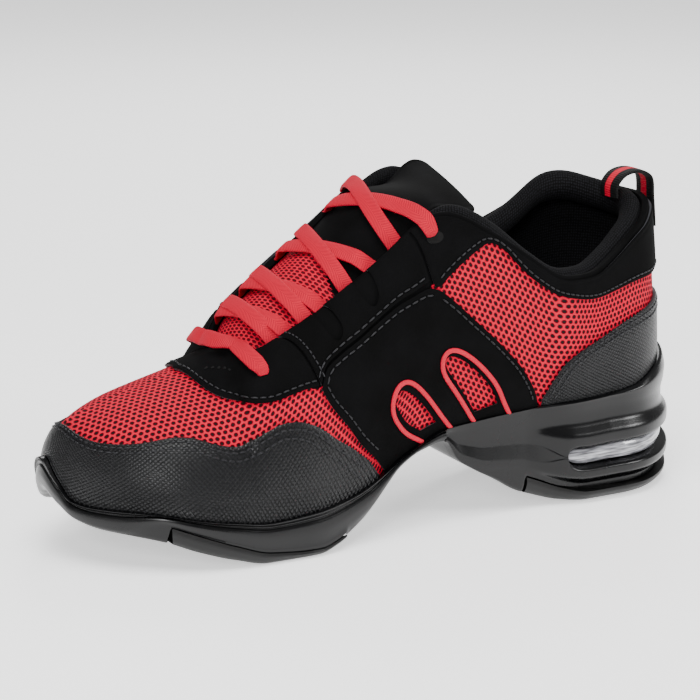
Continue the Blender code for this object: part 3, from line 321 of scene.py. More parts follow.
ridgeLook = {"step": 0.012, "lowest": -0.2, "highest": 0.8, "from": 0.72, "over": 0.06}


def surfaceAt(turn, rise):
    # the wall's outside: a cubic from the feather edge up to the top line, its handles set by fullness
    look = ridgeLook
    turn, rise = np.broadcast_arrays(wrap(turn), np.asarray(rise, float))
    share = shareOf(turn)
    out = edgeOut(turn)
    low = edgeAt(turn) - out * (shoe["rimWidth"] + shoe["gap"])
    low[..., 2] = bedAt(turn)
    high = topLine(turn)
    up = np.array([0.0, 0.0, 1.0])
    height = (high - low)[..., 2]
    inward = (low - high) * np.array([1.0, 1.0, 0.0])
    ahead = topLine(np.copysign(np.minimum(np.abs(turn) + look["step"], 1.0), turn))
    behind = topLine(np.copysign(np.maximum(np.abs(turn) - look["step"], 0.0), turn))
    run = np.minimum(ahead[..., 0] - behind[..., 0], -1e-6)
    slope = np.clip((ahead - behind)[..., 2] / run, look["lowest"], look["highest"])
    slope = slope * ease((share - look["from"]) / look["over"])
    places = [row[0] for row in fullness]
    lowUp, lowOut, highIn, highDown, highOut = [
        curveAt(places, [row[i] for row in fullness], share) for i in range(1, 6)]
    wide = shoe["ballWidth"]
    first = low + up * (lowUp * height)[..., None] + out * (lowOut * wide)[..., None]
    second = high + inward * highIn[..., None] - up * (highDown * height)[..., None]
    second = second + out * (highOut * wide)[..., None] + up * (slope * highIn * inward[..., 0])[..., None]
    r = rise[..., None]
    a = 1 - r
    return a**3 * low + 3 * a * a * r * first + 3 * a * r * r * second + r**3 * high


def outAt(turn, rise):
    turn, rise = np.broadcast_arrays(wrap(turn), np.asarray(rise, float))
    step = 0.004
    onRidge = shareOf(turn) >= shoe["throatEnd"] - 1e-6
    rise = np.clip(rise, step, np.where(onRidge, 0.96, 1 - step))
    way = surfaceAt(turn + step, rise) - surfaceAt(turn - step, rise)
    upward = surfaceAt(turn, rise + step) - surfaceAt(turn, rise - step)
    return unit(np.cross(way, upward))


def wallAt(turn, rise, lift):
    turn, rise = np.broadcast_arrays(wrap(turn), np.asarray(rise, float))
    out = outAt(turn, rise)
    atRidge = ease((rise - 0.90) / 0.10) * (shareOf(turn) >= shoe["throatEnd"] - 1e-6)
    out = unit(out + outAt(-turn, rise) * atRidge[..., None])
    return surfaceAt(turn, rise) + out * np.asarray(lift)[..., None]


rimSearch = {"samples": 241, "highest": 0.9, "halvings": 22}


def findRim():
    # the rise at which the wall comes out of the sole, found by halving
    turns = np.linspace(-1, 1, rimSearch["samples"])
    low = np.zeros(len(turns))
    high = np.full(len(turns), rimSearch["highest"])
    for _ in range(rimSearch["halvings"]):
        middle = (low + high) / 2
        under = surfaceAt(turns, middle)[..., 2] < rimAt(turns)
        low = np.where(under, middle, low)
        high = np.where(under, high, middle)
    return turns, low


rimTurns, rimRises = findRim()


def rimRise(turn):
    return np.interp(wrap(turn), rimTurns, rimRises)


print("form ready")


# Mesh helpers

def linear(hexColour):
    parts = [int(hexColour[i:i + 2], 16) / 255 for i in (1, 3, 5)]
    return tuple(c / 12.92 if c <= 0.04045 else ((c + 0.055) / 1.055) ** 2.4 for c in parts) + (1.0,)


def deselect():
    if bpy.context.object and bpy.context.object.mode != "OBJECT":
        bpy.ops.object.mode_set(mode="OBJECT")
    bpy.ops.object.select_all(action="DESELECT")


def choose(piece):
    deselect()
    piece.select_set(True)
    bpy.context.view_layer.objects.active = piece


def applyAll(piece):
    choose(piece)
    for modifier in list(piece.modifiers):
        bpy.ops.object.modifier_apply(modifier=modifier.name)


def edit(piece, *steps):
    choose(piece)
    bpy.ops.object.mode_set(mode="EDIT")
    bpy.ops.mesh.select_all(action="SELECT")
    for step in steps:
        step()
    bpy.ops.object.mode_set(mode="OBJECT")


def mergeAndFaceOut(piece, distance=1e-5):
    edit(piece, lambda: bpy.ops.mesh.remove_doubles(threshold=distance),
         lambda: bpy.ops.mesh.normals_make_consistent(inside=False))


def finishPiece(piece, material, nodes=(), angle=40):
    choose(piece)
    bpy.ops.object.shade_smooth_by_angle(angle=math.radians(angle))
    if material:
        piece.data.materials.clear()
        piece.data.materials.append(material)
    if nodes:
        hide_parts(*nodes)
    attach(piece, "root")
    return piece


def laidGrid(name, columns, rows, place):
    # a grid primitive whose corners run from 0 to 1 both ways, laid by place(u, v)
    deselect()
    bpy.ops.mesh.primitive_grid_add(x_subdivisions=columns, y_subdivisions=rows, size=2)
    piece = bpy.context.object
    piece.name = name
    piece.data.name = name
    flat = np.empty(len(piece.data.vertices) * 3)
    piece.data.vertices.foreach_get("co", flat)
    flat = (flat.reshape(-1, 3) + 1) / 2
    piece.data.vertices.foreach_set("co", place(flat[:, 0], flat[:, 1]).ravel())
    piece.data.update()
    return piece


def setUv(piece, place):
    # the piece's pattern map in metres, from the flat 0 to 1 map that the primitive came with
    layer = piece.data.uv_layers[0]
    flat = np.empty(len(layer.data) * 2)
    layer.data.foreach_get("uv", flat)
    flat = flat.reshape(-1, 2)
    layer.data.foreach_set("uv", np.stack(place(flat[:, 0], flat[:, 1]), -1).ravel())


def wayRound(turn):
    # metres round the sole from the heel, for patterns and drawn outlines
    turns = np.linspace(0, 1, 200)
    return np.copysign(np.interp(np.abs(turn), turns, lengthsAlong(edgeAt(turns))), turn)


# Materials

def newMaterial(name):
    material = bpy.data.materials.new(name)
    material.use_nodes = True
    return material


def addNode(material, kind, settings=None, links=None, **values):
    node = material.node_tree.nodes.new(kind)
    for key, value in (settings or {}).items():
        setattr(node, key, value)
    for key, value in values.items():
        node.inputs[key.replace("_", " ")].default_value = value
    for key, source in (links or {}).items():
        material.node_tree.links.new(source, node.inputs[key])
    return node


def dressed(material, colour, relief, **values):
    # the material with these nodes joined to its shader, which takes the plain values too
    shader = material.node_tree.nodes["Principled BSDF"]
    for key, value in values.items():
        shader.inputs[key.replace("_", " ")].default_value = value
    for key, node in (("Base Color", colour), ("Normal", relief)):
        if node:
            material.node_tree.links.new(node.outputs[0], shader.inputs[key])
    return material


def ramp(material, source, stops):
    node = addNode(material, "ShaderNodeValToRGB", links={"Fac": source})
    while len(node.color_ramp.elements) < len(stops):
        node.color_ramp.elements.new(0.5)
    for element, (place, colour) in zip(node.color_ramp.elements, stops):
        element.position = place
        element.color = linear(colour) if isinstance(colour, str) else (colour, colour, colour, 1)
    return node


def bump(material, source, strength, distance, under=None):
    links = {"Height": source}
    if under:
        links["Normal"] = under.outputs[0]
    return addNode(material, "ShaderNodeBump", links=links, Strength=strength, Distance=distance)


def noise(material, scale, detail=2):
    # cloudy noise in the piece's own space
    place = addNode(material, "ShaderNodeTexCoord").outputs["Object"]
    cloud = addNode(material, "ShaderNodeTexNoise", links={"Vector": place}, Scale=scale, Detail=detail)
    return cloud.outputs[0]


def cells(material, pitch, randomness, turned=0.0, **settings):
    # cells on the pattern map, one to each pitch both ways
    uv = addNode(material, "ShaderNodeUVMap").outputs[0]
    mapping = addNode(material, "ShaderNodeMapping", links={"Vector": uv},
                      Rotation=(0, 0, math.radians(turned)), Scale=(1 / pitch, 1 / pitch, 1))
    return addNode(material, "ShaderNodeTexVoronoi", {"voronoi_dimensions": "2D", **settings},
                   {"Vector": mapping.outputs[0]}, Scale=1.0, Randomness=randomness).outputs["Distance"]


def mathStep(material, operation, source, amount=None):
    step = addNode(material, "ShaderNodeMath", {"operation": operation}, {0: source})
    if amount:
        step.inputs[1].default_value = amount
    return step.outputs[0]


def vectorStep(material, operation, source, amount=None):
    step = addNode(material, "ShaderNodeVectorMath", {"operation": operation}, {0: source})
    if amount:
        step.inputs[1].default_value = amount
    return step


def ribs(material, source, pitch):
    # a wave along the source, one rib to each pitch
    return mathStep(material, "SINE", mathStep(material, "MULTIPLY", source, 2 * math.pi / pitch))


# the hole colour and the darker yarn at the holes' rims are painted shade down in the mesh's openings
airMeshLook = {"yarn": "#d0022e", "yarnShade": "#7c0219", "hole": "#1c0104", "pitch": 0.0023, "wobble": 0.0003,
               "wobbleScale": 900, "fuzzScale": 2500}
# the tongue mesh's hole colour is painted shade as well
tongueMeshLook = dict(airMeshLook, hole="#4a0410", pitch=0.0015)


def makeAirMesh(name, look):
    # Polyester spacer mesh, warp knitted: round open holes in offset rows, the yarn between them soft
    # and bright. The holes are painted near black and the yarn is painted darker at their rims: painted shade
    # in the open mesh
    m = newMaterial(name)
    uv = addNode(m, "ShaderNodeUVMap").outputs[0]
    wobble = addNode(m, "ShaderNodeTexNoise", links={"Vector": uv}, Scale=look["wobbleScale"])
    soft = vectorStep(m, "MULTIPLY_ADD", wobble.outputs["Color"], (look["wobble"],) * 3)
    m.node_tree.links.new(uv, soft.inputs[2])
    cell = (look["pitch"], look["pitch"] * math.sqrt(3), 1)
    nearest = addNode(m, "ShaderNodeMath", {"operation": "MINIMUM"})
    for index, shift in enumerate((0.0, 0.5)):
        step = soft
        for operation, amount in (("DIVIDE", cell), ("ADD", (shift, shift, 0)), ("FRACTION", None),
                                  ("SUBTRACT", (0.5, 0.5, 0)), ("MULTIPLY", (1, math.sqrt(3), 0)),
                                  ("LENGTH", None)):
            step = vectorStep(m, operation, step.outputs[0], amount)
        m.node_tree.links.new(step.outputs["Value"], nearest.inputs[index])
    # painted shade: near black in the holes, darker yarn round their rims, the bright yarn colour between
    colour = ramp(m, nearest.outputs[0], [(0.0, look["hole"]), (0.22, look["hole"]), (0.31, look["yarnShade"]),
                                          (0.40, look["yarn"])])
    height = ramp(m, nearest.outputs[0], [(0.0, 0.0), (0.20, 0.05), (0.36, 0.9), (0.5, 1.0)])
    fuzz = addNode(m, "ShaderNodeTexNoise", Scale=look["fuzzScale"])
    fine = bump(m, fuzz.outputs[0], 0.15, 0.0002)
    return dressed(m, colour, bump(m, height.outputs[0], 0.9, 0.0007, fine), Roughness=0.75,
                   Specular_IOR_Level=0.15)


microLook = {"base": "#030303", "light": "#080809", "nap": 0.0004, "cloudScale": 60}


def makeMicrofibre():
    # Synthetic suede, brushed: matt black with a short nap that catches a little light at its edges
    m = newMaterial("brushedMicrofibre")
    nap = noise(m, 1 / microLook["nap"] / 2, 6)
    cloud = noise(m, microLook["cloudScale"], 3)
    colour = ramp(m, cloud, [(0.35, microLook["base"]), (0.7, microLook["light"])])
    return dressed(m, colour, bump(m, nap, 0.25, 0.0002), Roughness=0.80, Specular_IOR_Level=0.06)


# high is a painted highlight on the raised squares' tops, base is the leather's black
embossLook = {"base": "#010101", "high": "#101013", "pitch": 0.00135, "turned": 38, "randomness": 0.12}


def makeEmbossed():
    # Polyurethane leather pressed with a fine basket grain: rows of small raised squares with a satin shine.
    # The squares' tops are painted lighter than the grooves between them, a painted highlight
    look = embossLook
    m = newMaterial("embossedPolyurethane")
    grain = cells(m, look["pitch"], look["randomness"], look["turned"], distance="CHEBYCHEV")
    height = ramp(m, grain, [(0.0, 1.0), (0.30, 0.9), (0.48, 0.0)]).outputs[0]
    # painted highlight: lighter where the grain stands high
    colour = ramp(m, height, [(0.0, look["base"]), (1.0, look["high"])])
    return dressed(m, colour, bump(m, height, 1.0, 0.0004), Roughness=0.34, Specular_IOR_Level=0.34)


wornLook = {"scale": 35, "detail": 4, "smoother": 0.06, "rougher": 0.08}


def makeRubber(name, colour, rough, grain, depth):
    # Moulded foam rubber: an even satin black with a very fine pebble from the mould
    m = newMaterial(name)
    pebble = noise(m, 1 / grain, 3)
    worn = noise(m, wornLook["scale"], wornLook["detail"])
    polish = addNode(m, "ShaderNodeMapRange", links={"Value": worn}, To_Min=rough - wornLook["smoother"],
                     To_Max=rough + wornLook["rougher"])
    dressed(m, None, bump(m, pebble, 0.18, depth), Base_Color=linear(colour), Specular_IOR_Level=0.34)
    m.node_tree.links.new(polish.outputs[0], m.node_tree.nodes["Principled BSDF"].inputs["Roughness"])
    return m


# dark, middle and light are the tones of painted reflections streaked along the clear plastic
clearLook = {"dark": "#56565a", "middle": "#8c8c91", "light": "#bcbcc2", "reflectionStreaks": (24, 24, 260)}


def makeClear():
    # Clear thermoplastic polyurethane over a pale foam core, glossy: its silvery look is painted in, as
    # soft light and dark streaks of painted reflection
    look = clearLook
    m = newMaterial("clearPolyurethane")
    place = addNode(m, "ShaderNodeTexCoord").outputs["Object"]
    mapping = addNode(m, "ShaderNodeMapping", links={"Vector": place}, Scale=look["reflectionStreaks"])
    reflectionStreaks = addNode(m, "ShaderNodeTexNoise", links={"Vector": mapping.outputs[0]})
    # painted reflection: grey streaks in the base colour
    colour = ramp(m, reflectionStreaks.outputs[0], [(0.35, look["dark"]), (0.5, look["middle"]), (0.66, look["light"])])
    return dressed(m, colour, None, Roughness=0.12, IOR=1.5, Coat_Weight=0.6, Coat_Roughness=0.05)


# deep is painted shade in the hollows between the lace's ribs
laceLook = {"base": "#c4032a", "deep": "#88021c", "rib": 0.0009}


def makeLaceCord():
    # Flat polyester lace, tubular woven: small slanting ribs that meet in a herringbone along the middle;
    # the hollows between the ribs are painted darker, as painted shade
    look = laceLook
    m = newMaterial("wovenPolyesterLace")
    uv = addNode(m, "ShaderNodeUVMap").outputs[0]
    split = addNode(m, "ShaderNodeSeparateXYZ", links={"Vector": uv})
    across = mathStep(m, "ABSOLUTE", split.outputs["Y"])
    slant = addNode(m, "ShaderNodeMath", {"operation": "ADD"}, {0: split.outputs["X"], 1: across})
    wave = ribs(m, slant.outputs[0], look["rib"])
    height = addNode(m, "ShaderNodeMapRange", links={"Value": wave}, From_Min=-1.0).outputs[0]
    # painted shade: darker red in the rib hollows
    colour = ramp(m, height, [(0.0, look["deep"]), (0.45, look["base"]), (1.0, look["base"])])
    return dressed(m, colour, bump(m, height, 0.35, 0.0002), Roughness=0.7, Specular_IOR_Level=0.2)


webbingLook = {"base": "#040404", "stripe": "#c2032a", "halfStripe": 0.0019, "rib": 0.0009}


def makeWebbing():
    # Woven polyester tape: black with a red stripe down the middle, fine cross ribs
    look = webbingLook
    m = newMaterial("wovenTape")
    uv = addNode(m, "ShaderNodeUVMap").outputs[0]
    split = addNode(m, "ShaderNodeSeparateXYZ", links={"Vector": uv})
    across = mathStep(m, "ABSOLUTE", split.outputs["Y"])
    stripe = mathStep(m, "LESS_THAN", across, look["halfStripe"])
    colour = ramp(m, stripe, [(0.0, look["base"]), (1.0, look["stripe"])])
    relief = bump(m, ribs(m, split.outputs["X"], look["rib"]), 0.4, 0.0002)
    return dressed(m, colour, relief, Roughness=0.75, Specular_IOR_Level=0.2)


# high is a painted highlight on the knit loops' crowns, base is the lining's black
linerLook = {"base": "#010101", "high": "#1d1d21", "pitch": 0.0011, "randomness": 0.25}


def makeLiner():
    # Brushed knit lining over foam: matt black with small soft loops in rows; the loops' crowns are painted
    # lighter, a painted highlight
    m = newMaterial("knitLining")
    loops = cells(m, linerLook["pitch"], linerLook["randomness"])
    # painted highlight: lighter at the middle of each raised loop
    colour = ramp(m, loops, [(0.05, linerLook["high"]), (0.45, linerLook["base"])])
    return dressed(m, colour, bump(m, loops, 0.5, -0.0003), Roughness=0.9, Specular_IOR_Level=0.15)


def makePlain(name, colour, rough, grain=0.0004, depth=0.0001):
    # One even colour with a very fine grain
    m = newMaterial(name)
    return dressed(m, None, bump(m, noise(m, 1 / grain), 0.3, depth), Base_Color=linear(colour),
                   Roughness=rough, Specular_IOR_Level=0.3)


airMesh = makeAirMesh("polyesterAirMesh", airMeshLook)
tongueMesh = makeAirMesh("tongueAirMesh", tongueMeshLook)
microfibre = makeMicrofibre()
embossed = makeEmbossed()
foamRubber = makeRubber("mouldedFoamRubber", "#010102", 0.25, 0.0006, 0.00012)
treadRubber = makeRubber("carbonRubberTread", "#020202", 0.42, 0.0004, 0.0002)
clearPlastic = makeClear()
laceCord = makeLaceCord()
webbing = makeWebbing()
liner = makeLiner()
thread = makePlain("bondedNylonThread", "#1e1e21", 0.38)
redCord = makePlain("redSatinPiping", "#c2032a", 0.6)
# the panels' cut edges: the raw edge's own grey, lightened further as a painted highlight along each edge
cutEdgeHighlight = makePlain("cutEdgePaintedHighlight", "#3c3c40", 0.6)
# near-black colour for discs put where holes are punched: painted shade in the holes
holeShade = makePlain("paintedHoleShade", "#010101", 0.9)
print("materials ready")


# Upper: one wall, mesh outside and knit lining inside

upperShape = {"columns": 520, "rows": 64, "innerColumns": 260, "innerRows": 30}
clothLook = {"heelShare": 0.22, "blend": 0.05, "smoothings": 30}
bindingLook = {"columns": 420, "rows": 16, "over": 0.0009, "proud": 0.0004, "down": 0.030, "square": 0.4,
               "wallUp": 0.07}


def bindingPlace(u, v):
    # the folded edge over the wall's top, from outside to inside
    look = bindingLook
    turn = (2 * u - 1) * turnOf(shoe["throatEnd"])
    angle = np.pi * v
    flat, high = np.cos(angle), np.sin(angle) ** look["square"]
    half = shoe["wall"] / 2
    lift = -half + (half + look["proud"]) * np.copysign(np.abs(flat) ** look["square"], flat)
    rise = 1 - look["down"] + (look["down"] + look["over"] / look["wallUp"]) * high
    top = surfaceAt(turn, 1.0) - surfaceAt(turn, 1 - look["down"])
    base = wallAt(turn, np.minimum(rise, 1.0), lift)
    return base + unit(top) * (np.maximum(rise - 1.0, 0) * look["wallUp"])[:, None]


def clothPlaces(columns, rows):
    # the flat cloth's two coordinates for a grid over the whole wall: cut from the ridge down each side,
    # so the holes keep their size over the toe and round the heel
    turns, rises = np.meshgrid(np.linspace(-1, 1, columns + 1), np.linspace(0, 1, rows + 1), indexing="ij")
    points = surfaceAt(turns, rises)
    girth = np.hypot(*np.moveaxis(np.diff(points, axis=1)[..., 1:], -1, 0))
    down = np.cumsum(girth[:, ::-1], axis=1)[:, ::-1]
    down = np.concatenate([down, np.zeros((columns + 1, 1))], axis=1)
    across = np.abs(points[:, -1:, 1]) + down
    for _ in range(clothLook["smoothings"]):
        across[1:-1] = (across[:-2] + 2 * across[1:-1] + across[2:]) / 4

    heel = turnOf(clothLook["heelShare"])
    past = np.maximum(wayRound(heel) - wayRound(np.abs(turns)), 0)
    share = ease((np.abs(turns) - heel) / clothLook["blend"])
    ahead = points[..., 0] * share + edgeAt(turns)[..., 0] * (1 - share)
    return np.where(np.abs(turns) < heel, edgeAt(heel)[0] + past, ahead), np.copysign(across, turns)


def makeUpper():
    columns, rows = upperShape["columns"], upperShape["rows"]
    along, across = clothPlaces(columns, rows)

    def cloth(u, v):
        i, j = np.rint(u * columns).astype(int), np.rint(v * rows).astype(int)
        return along[i, j], across[i, j]

    shell = laidGrid("upperMesh", columns, rows, lambda u, v: wallAt(2 * u - 1, v, 0.0))
    setUv(shell, cloth)
    finishPiece(shell, airMesh, ["upper"], 60)
    lining = laidGrid("upperLining", upperShape["innerColumns"], upperShape["innerRows"],
                      lambda u, v: wallAt(2 * u - 1, v, -shoe["wall"]))
    setUv(lining, lambda u, v: (wayRound(2 * u - 1), v * planUp))
    edit(lining, lambda: bpy.ops.mesh.flip_normals())
    finishPiece(lining, liner, ["upper"], 60)
    binding = laidGrid("collarBinding", bindingLook["columns"], bindingLook["rows"], bindingPlace)
    finishPiece(binding, microfibre, ["upper"], 60)


makeUpper()
print("upper ready")


# Overlays: outlines are drawn on the flat wall (metres round the sole, metres up), then laid on the shoe

wayTurns = np.linspace(-1, 1, 801)
wayPlaces = wayRound(wayTurns)
halfWay = wayPlaces[-1]


def turnAtWay(way):
    return np.interp(way, wayPlaces, wayTurns)


def drawRound(points):
    share, rise = np.array(points, float).T
    return np.stack([wayRound(turnOf(share)), rise * planUp], -1)


def drawToe(points):
    share, rise = np.array(points, float).T
    way = halfWay - wayRound(turnOf(np.abs(share)))
    return np.stack([np.copysign(way, share), rise * planUp], -1)


def layRound(plan, lift):
    return wallAt(turnAtWay(plan[..., 0]), plan[..., 1] / planUp, lift)


def layToe(plan, lift):
    turn = np.copysign(turnAtWay(halfWay - np.abs(plan[..., 0])), plan[..., 0])
    return wallAt(turn, plan[..., 1] / planUp, lift)


def layRidge(plan, lift):
    # plan y is the way down from the ridge, minus on the inner side
    turn = np.copysign(turnAtWay(plan[..., 0]), -plan[..., 1])
    turn = np.where(plan[..., 1] == 0, np.abs(turn), turn)
    return wallAt(turn, 1 - np.abs(plan[..., 1]) / planUp, lift)


def onSide(plan, side):
    # a plan drawn for the inner side, put on the side asked for: -1 outer, 1 inner
    return plan * np.array([side, 1.0])


def overRidge(plan):
    return plan * np.array([1.0, -1.0])


def softRun(points, step=0.0012):
    # an even, soft curve through the points of a run; a run of two stays straight
    points = np.asarray(points, float)
    if len(points) > 2:
        padded = np.vstack([2 * points[0] - points[1], points, 2 * points[-1] - points[-2]])
        t = np.linspace(0, 1, 12, endpoint=False)[:, None]
        pieces = [softStep(*four, t) for four in zip(padded, padded[1:], padded[2:], padded[3:])]
        points = np.vstack(pieces + [points[-1:]])
    lengths = lengthsAlong(points)
    count = max(int(lengths[-1] / step), 1)
    at = np.linspace(0, lengths[-1], count + 1)
    return np.stack([np.interp(at, lengths, points[:, i]) for i in (0, 1)], -1)


def roundOff(run, times=60, closed=False):
    # eases the corners of an even run, its ends held
    run = run.copy()
    for _ in range(times):
        middle = (np.roll(run, 1, axis=0) + np.roll(run, -1, axis=0)) / 4 + run / 2
        run = middle if closed else np.vstack([run[:1], middle[1:-1], run[-1:]])
    return run


def closeLoop(runs):
    loop = np.vstack([softRun(run)[:-1] for run in runs])
    keep = np.linalg.norm(loop - np.roll(loop, 1, axis=0), axis=1) > 1e-5
    return loop[keep]


def isInside(points, loop):
    x, y = points[:, 0][:, None], points[:, 1][:, None]
    x0, y0 = loop[:, 0], loop[:, 1]
    x1, y1 = np.roll(x0, -1), np.roll(y0, -1)
    crosses = (y0 > y) != (y1 > y)
    with np.errstate(divide="ignore", invalid="ignore"):
        at = (x1 - x0) * (y - y0) / (y1 - y0) + x0
    return (crosses & (x < at)).sum(axis=1) % 2 == 1


def toOutline(points, loops):
    # distance from each point to the nearest outline
    best = np.full(len(points), 1e9)
    for loop in loops:
        start, way = loop, np.roll(loop, -1, axis=0) - loop
        length = np.maximum((way**2).sum(axis=1), 1e-14)
        for first in range(0, len(points), 4000):
            p = points[first:first + 4000, None, :]
            t = np.clip(((p - start) * way).sum(axis=2) / length, 0, 1)
            found = np.linalg.norm(start + way * t[..., None] - p, axis=2).min(axis=1)
            best[first:first + 4000] = np.minimum(best[first:first + 4000], found)
    return best


def offsetRun(run, distance, closed=False):
    # to the right of the way that the run goes
    if closed:
        way = np.roll(run, -1, axis=0) - np.roll(run, 1, axis=0)
    else:
        way = np.gradient(run, axis=0)
    way = unit(way)
    return run + np.stack([way[:, 1], -way[:, 0]], -1) * distance


def meshFrom(name, points, faces, pattern=None):
    mesh = bpy.data.meshes.new(name)
    mesh.from_pydata([tuple(p) for p in points], [], [tuple(int(i) for i in f) for f in faces])
    mesh.update()
    piece = bpy.data.objects.new(name, mesh)
    bpy.context.scene.collection.objects.link(piece)
    if pattern is not None:
        layer = mesh.uv_layers.new(name="UVMap")
        corner = np.empty(len(mesh.loops), int)
        mesh.loops.foreach_get("vertex_index", corner)
        layer.data.foreach_set("uv", pattern[corner].ravel())
    return piece


def tubeFaces(count, around):
    # rings of points one after the other: a cap at each end, then the sides
    faces = [tuple(range(around)), tuple(range((count - 1) * around, count * around))]
    for ring in range(count - 1):
        for k in range(around):
            a, b = ring * around + k, ring * around + (k + 1) % around
            faces.append((a, b, b + around, a + around))
    return faces


def thicken(piece, thickness, offset):
    wall = piece.modifiers.new("wall", "SOLIDIFY")
    wall.thickness = thickness
    wall.offset = offset
    applyAll(piece)


panelLook = {"cell": 0.0024, "rings": (0.0004, 0.0009, 0.0015, 0.0020, 0.0025, 0.0034), "ringClear": 0.93,
             "cellClear": 0.4, "edgeDrop": 0.00045, "edgeWidth": 0.0006, "seamDip": 0.00018,
             "seamWidth": 0.0007, "base": 0.0005}
panelTop = panelLook["base"] + shoe["overlay"]
# how far a panel's rows of stitches lie from its edge
singleSeam = (0.0020,)
doubleSeam = (0.0022, 0.0048)


def signedArea(loop):
    x, y = loop[:, 0], loop[:, 1]
    return 0.5 * np.sum(x * np.roll(y, -1) - np.roll(x, -1) * y)


def isOnPanel(points, loops):
    # inside the first loop and outside the others, which are its holes
    inside = isInside(points, loops[0])
    for hole in loops[1:]:
        inside &= ~isInside(points, hole)
    return inside


def panelPlan(loops):
    # a flat net over the panel: its outlines, rings along them, and an even field between
    look = panelLook
    points = [*loops]
    for ring in look["rings"]:
        for loop in loops:
            moved = offsetRun(loop, -ring, closed=True)
            points.append(moved[toOutline(moved, loops) > ring * look["ringClear"]])
    corners = zip(loops[0].min(axis=0), loops[0].max(axis=0))
    xs, ys = [np.arange(a + look["cell"] / 2, b, look["cell"]) for a, b in corners]
    field = np.stack(np.meshgrid(xs, ys), -1).reshape(-1, 2)
    field = field[isOnPanel(field, loops)]
    field = field[toOutline(field, loops) > look["rings"][-1] + look["cell"] * look["cellClear"]]
    cloud = np.vstack(points + [field])
    edges = []
    start = 0
    for loop in loops:
        edges += [(start + i, start + (i + 1) % len(loop)) for i in range(len(loop))]
        start += len(loop)
    # the search works on centimetres, because metres are too small for its limits
    found = delaunay_2d_cdt([Vector(p * 100) for p in cloud], edges, [], 0, 1e-6)
    plan = np.array([tuple(p) for p in found[0]]) / 100
    faces = np.array(found[2])
    return plan, faces[isOnPanel(plan[faces].mean(axis=1), loops)]


def panel(name, loops, lay, material, nodes=None, seams=singleSeam, thick=None, low=None):
    look = panelLook
    thick = thick or shoe["overlay"]
    low = look["base"] if low is None else low
    loops = [l if (signedArea(l) > 0) == (i == 0) else l[::-1] for i, l in enumerate(loops)]
    plan, faces = panelPlan(loops)
    away = toOutline(plan, loops)
    lift = low + thick - look["edgeDrop"] * np.exp(-(away / look["edgeWidth"]) ** 2)
    for seam in seams:
        lift -= look["seamDip"] * np.exp(-((away - seam) / look["seamWidth"]) ** 2)
    placed = lay(plan, lift)
    middle = placed[faces]
    normals = np.cross(middle[:, 1] - middle[:, 0], middle[:, 2] - middle[:, 0])
    outward = lay(plan, lift + 0.001)[faces].mean(axis=1) - middle.mean(axis=1)
    if (normals * outward).sum() < 0:
        faces = faces[:, ::-1]
    piece = meshFrom(name, placed, faces, plan)
    thicken(piece, thick, -1)
    finishPiece(piece, material, nodes, 50)
    # the rim faces take the lighter cut-edge colour, partly a painted highlight
    piece.data.materials.append(cutEdgeHighlight)
    onRim = np.arange(len(piece.data.polygons)) >= 2 * len(faces)
    piece.data.polygons.foreach_set("material_index", onRim.astype(int))
    return piece


# Stitches: short rods of thread, two sunk ends each, laid along a seam

stitchLook = {"pitch": 0.0029, "length": 0.0022, "radius": 0.00032, "sides": 6, "sink": 0.00010}
# share of a stitch's length from its middle, share of its radius, and lift in sinks
stitchRings = [(-0.5, 0.35, -1.0), (-0.38, 0.9, 0.2), (0.0, 1.0, 0.6), (0.38, 0.9, 0.2), (0.5, 0.35, -1.0)]
stitchPlaces = []


def sew(run, lay):
    lengths = lengthsAlong(run)
    pitch, length = stitchLook["pitch"], stitchLook["length"]
    at = np.arange(pitch / 2, lengths[-1] - length, pitch)
    if not len(at):
        return
    plans = [np.stack([np.interp(at + shift, lengths, run[:, i]) for i in (0, 1)], -1)
             for shift in (0.0, length)]
    start, end = [lay(plan, panelTop) for plan in plans]
    stitchPlaces.append((start, end, unit(lay(plans[1], panelTop + 0.001) - end)))


def sewAlong(run, lay, distances, side=1.0):
    for distance in distances:
        sew(onSide(offsetRun(softRun(run), distance), side), lay)


def makeStitches(name, material):
    sides = stitchLook["sides"]
    starts, ends, up = [np.vstack([places[i] for places in stitchPlaces]) for i in range(3)]
    middle = (starts + ends) / 2
    way = ends - starts
    side = unit(np.cross(up, way))
    radius = stitchLook["radius"]
    layers = []
    for along, wide, lifted in stitchRings:
        centre = middle + way * along + up * (lifted * stitchLook["sink"])
        reach = radius * wide
        layers += [centre + side * (reach * cos) + up * (reach * sin) for cos, sin in zip(*circle(sides))]
    points = np.stack(layers, 1).reshape(-1, 3)
    one = tubeFaces(len(stitchRings), sides)
    one[0] = one[0][::-1]
    faces = [tuple(i + len(layers) * n for i in face) for n in range(len(starts)) for face in one]
    piece = meshFrom(name, points, faces)
    edit(piece, lambda: bpy.ops.mesh.normals_make_consistent(inside=False))
    return finishPiece(piece, material, (), 80)


# The overlays' outlines: share of the sole's length from the heel, and share of the wall's rise
toeCapEdge = [
    (0.570, 0.105), (0.598, 0.185), (0.625, 0.255), (0.653, 0.335), (0.676, 0.382),
    (0.693, 0.405), (0.712, 0.420), (0.731, 0.405), (0.751, 0.378), (0.773, 0.363), (0.795, 0.386),
    (0.816, 0.422), (0.836, 0.460), (0.859, 0.480), (0.881, 0.478), (0.902, 0.468), (0.922, 0.468),
    (0.942, 0.478), (0.961, 0.500), (0.981, 0.550), (0.997, 0.610),
]
stayEdge = [
    (0.816, -0.050), (0.804, -0.220), (0.789, -0.336), (0.769, -0.410), (0.746, -0.446), (0.723, -0.458),
    (0.696, -0.470), (0.669, -0.480), (0.648, -0.495),
]
stayThroat = [(0.692, -0.015), (0.715, -0.015), (0.738, -0.018), (0.752, -0.030)]
eyestayFront = [(0.6445, 0.500), (0.6895, 0.985)]
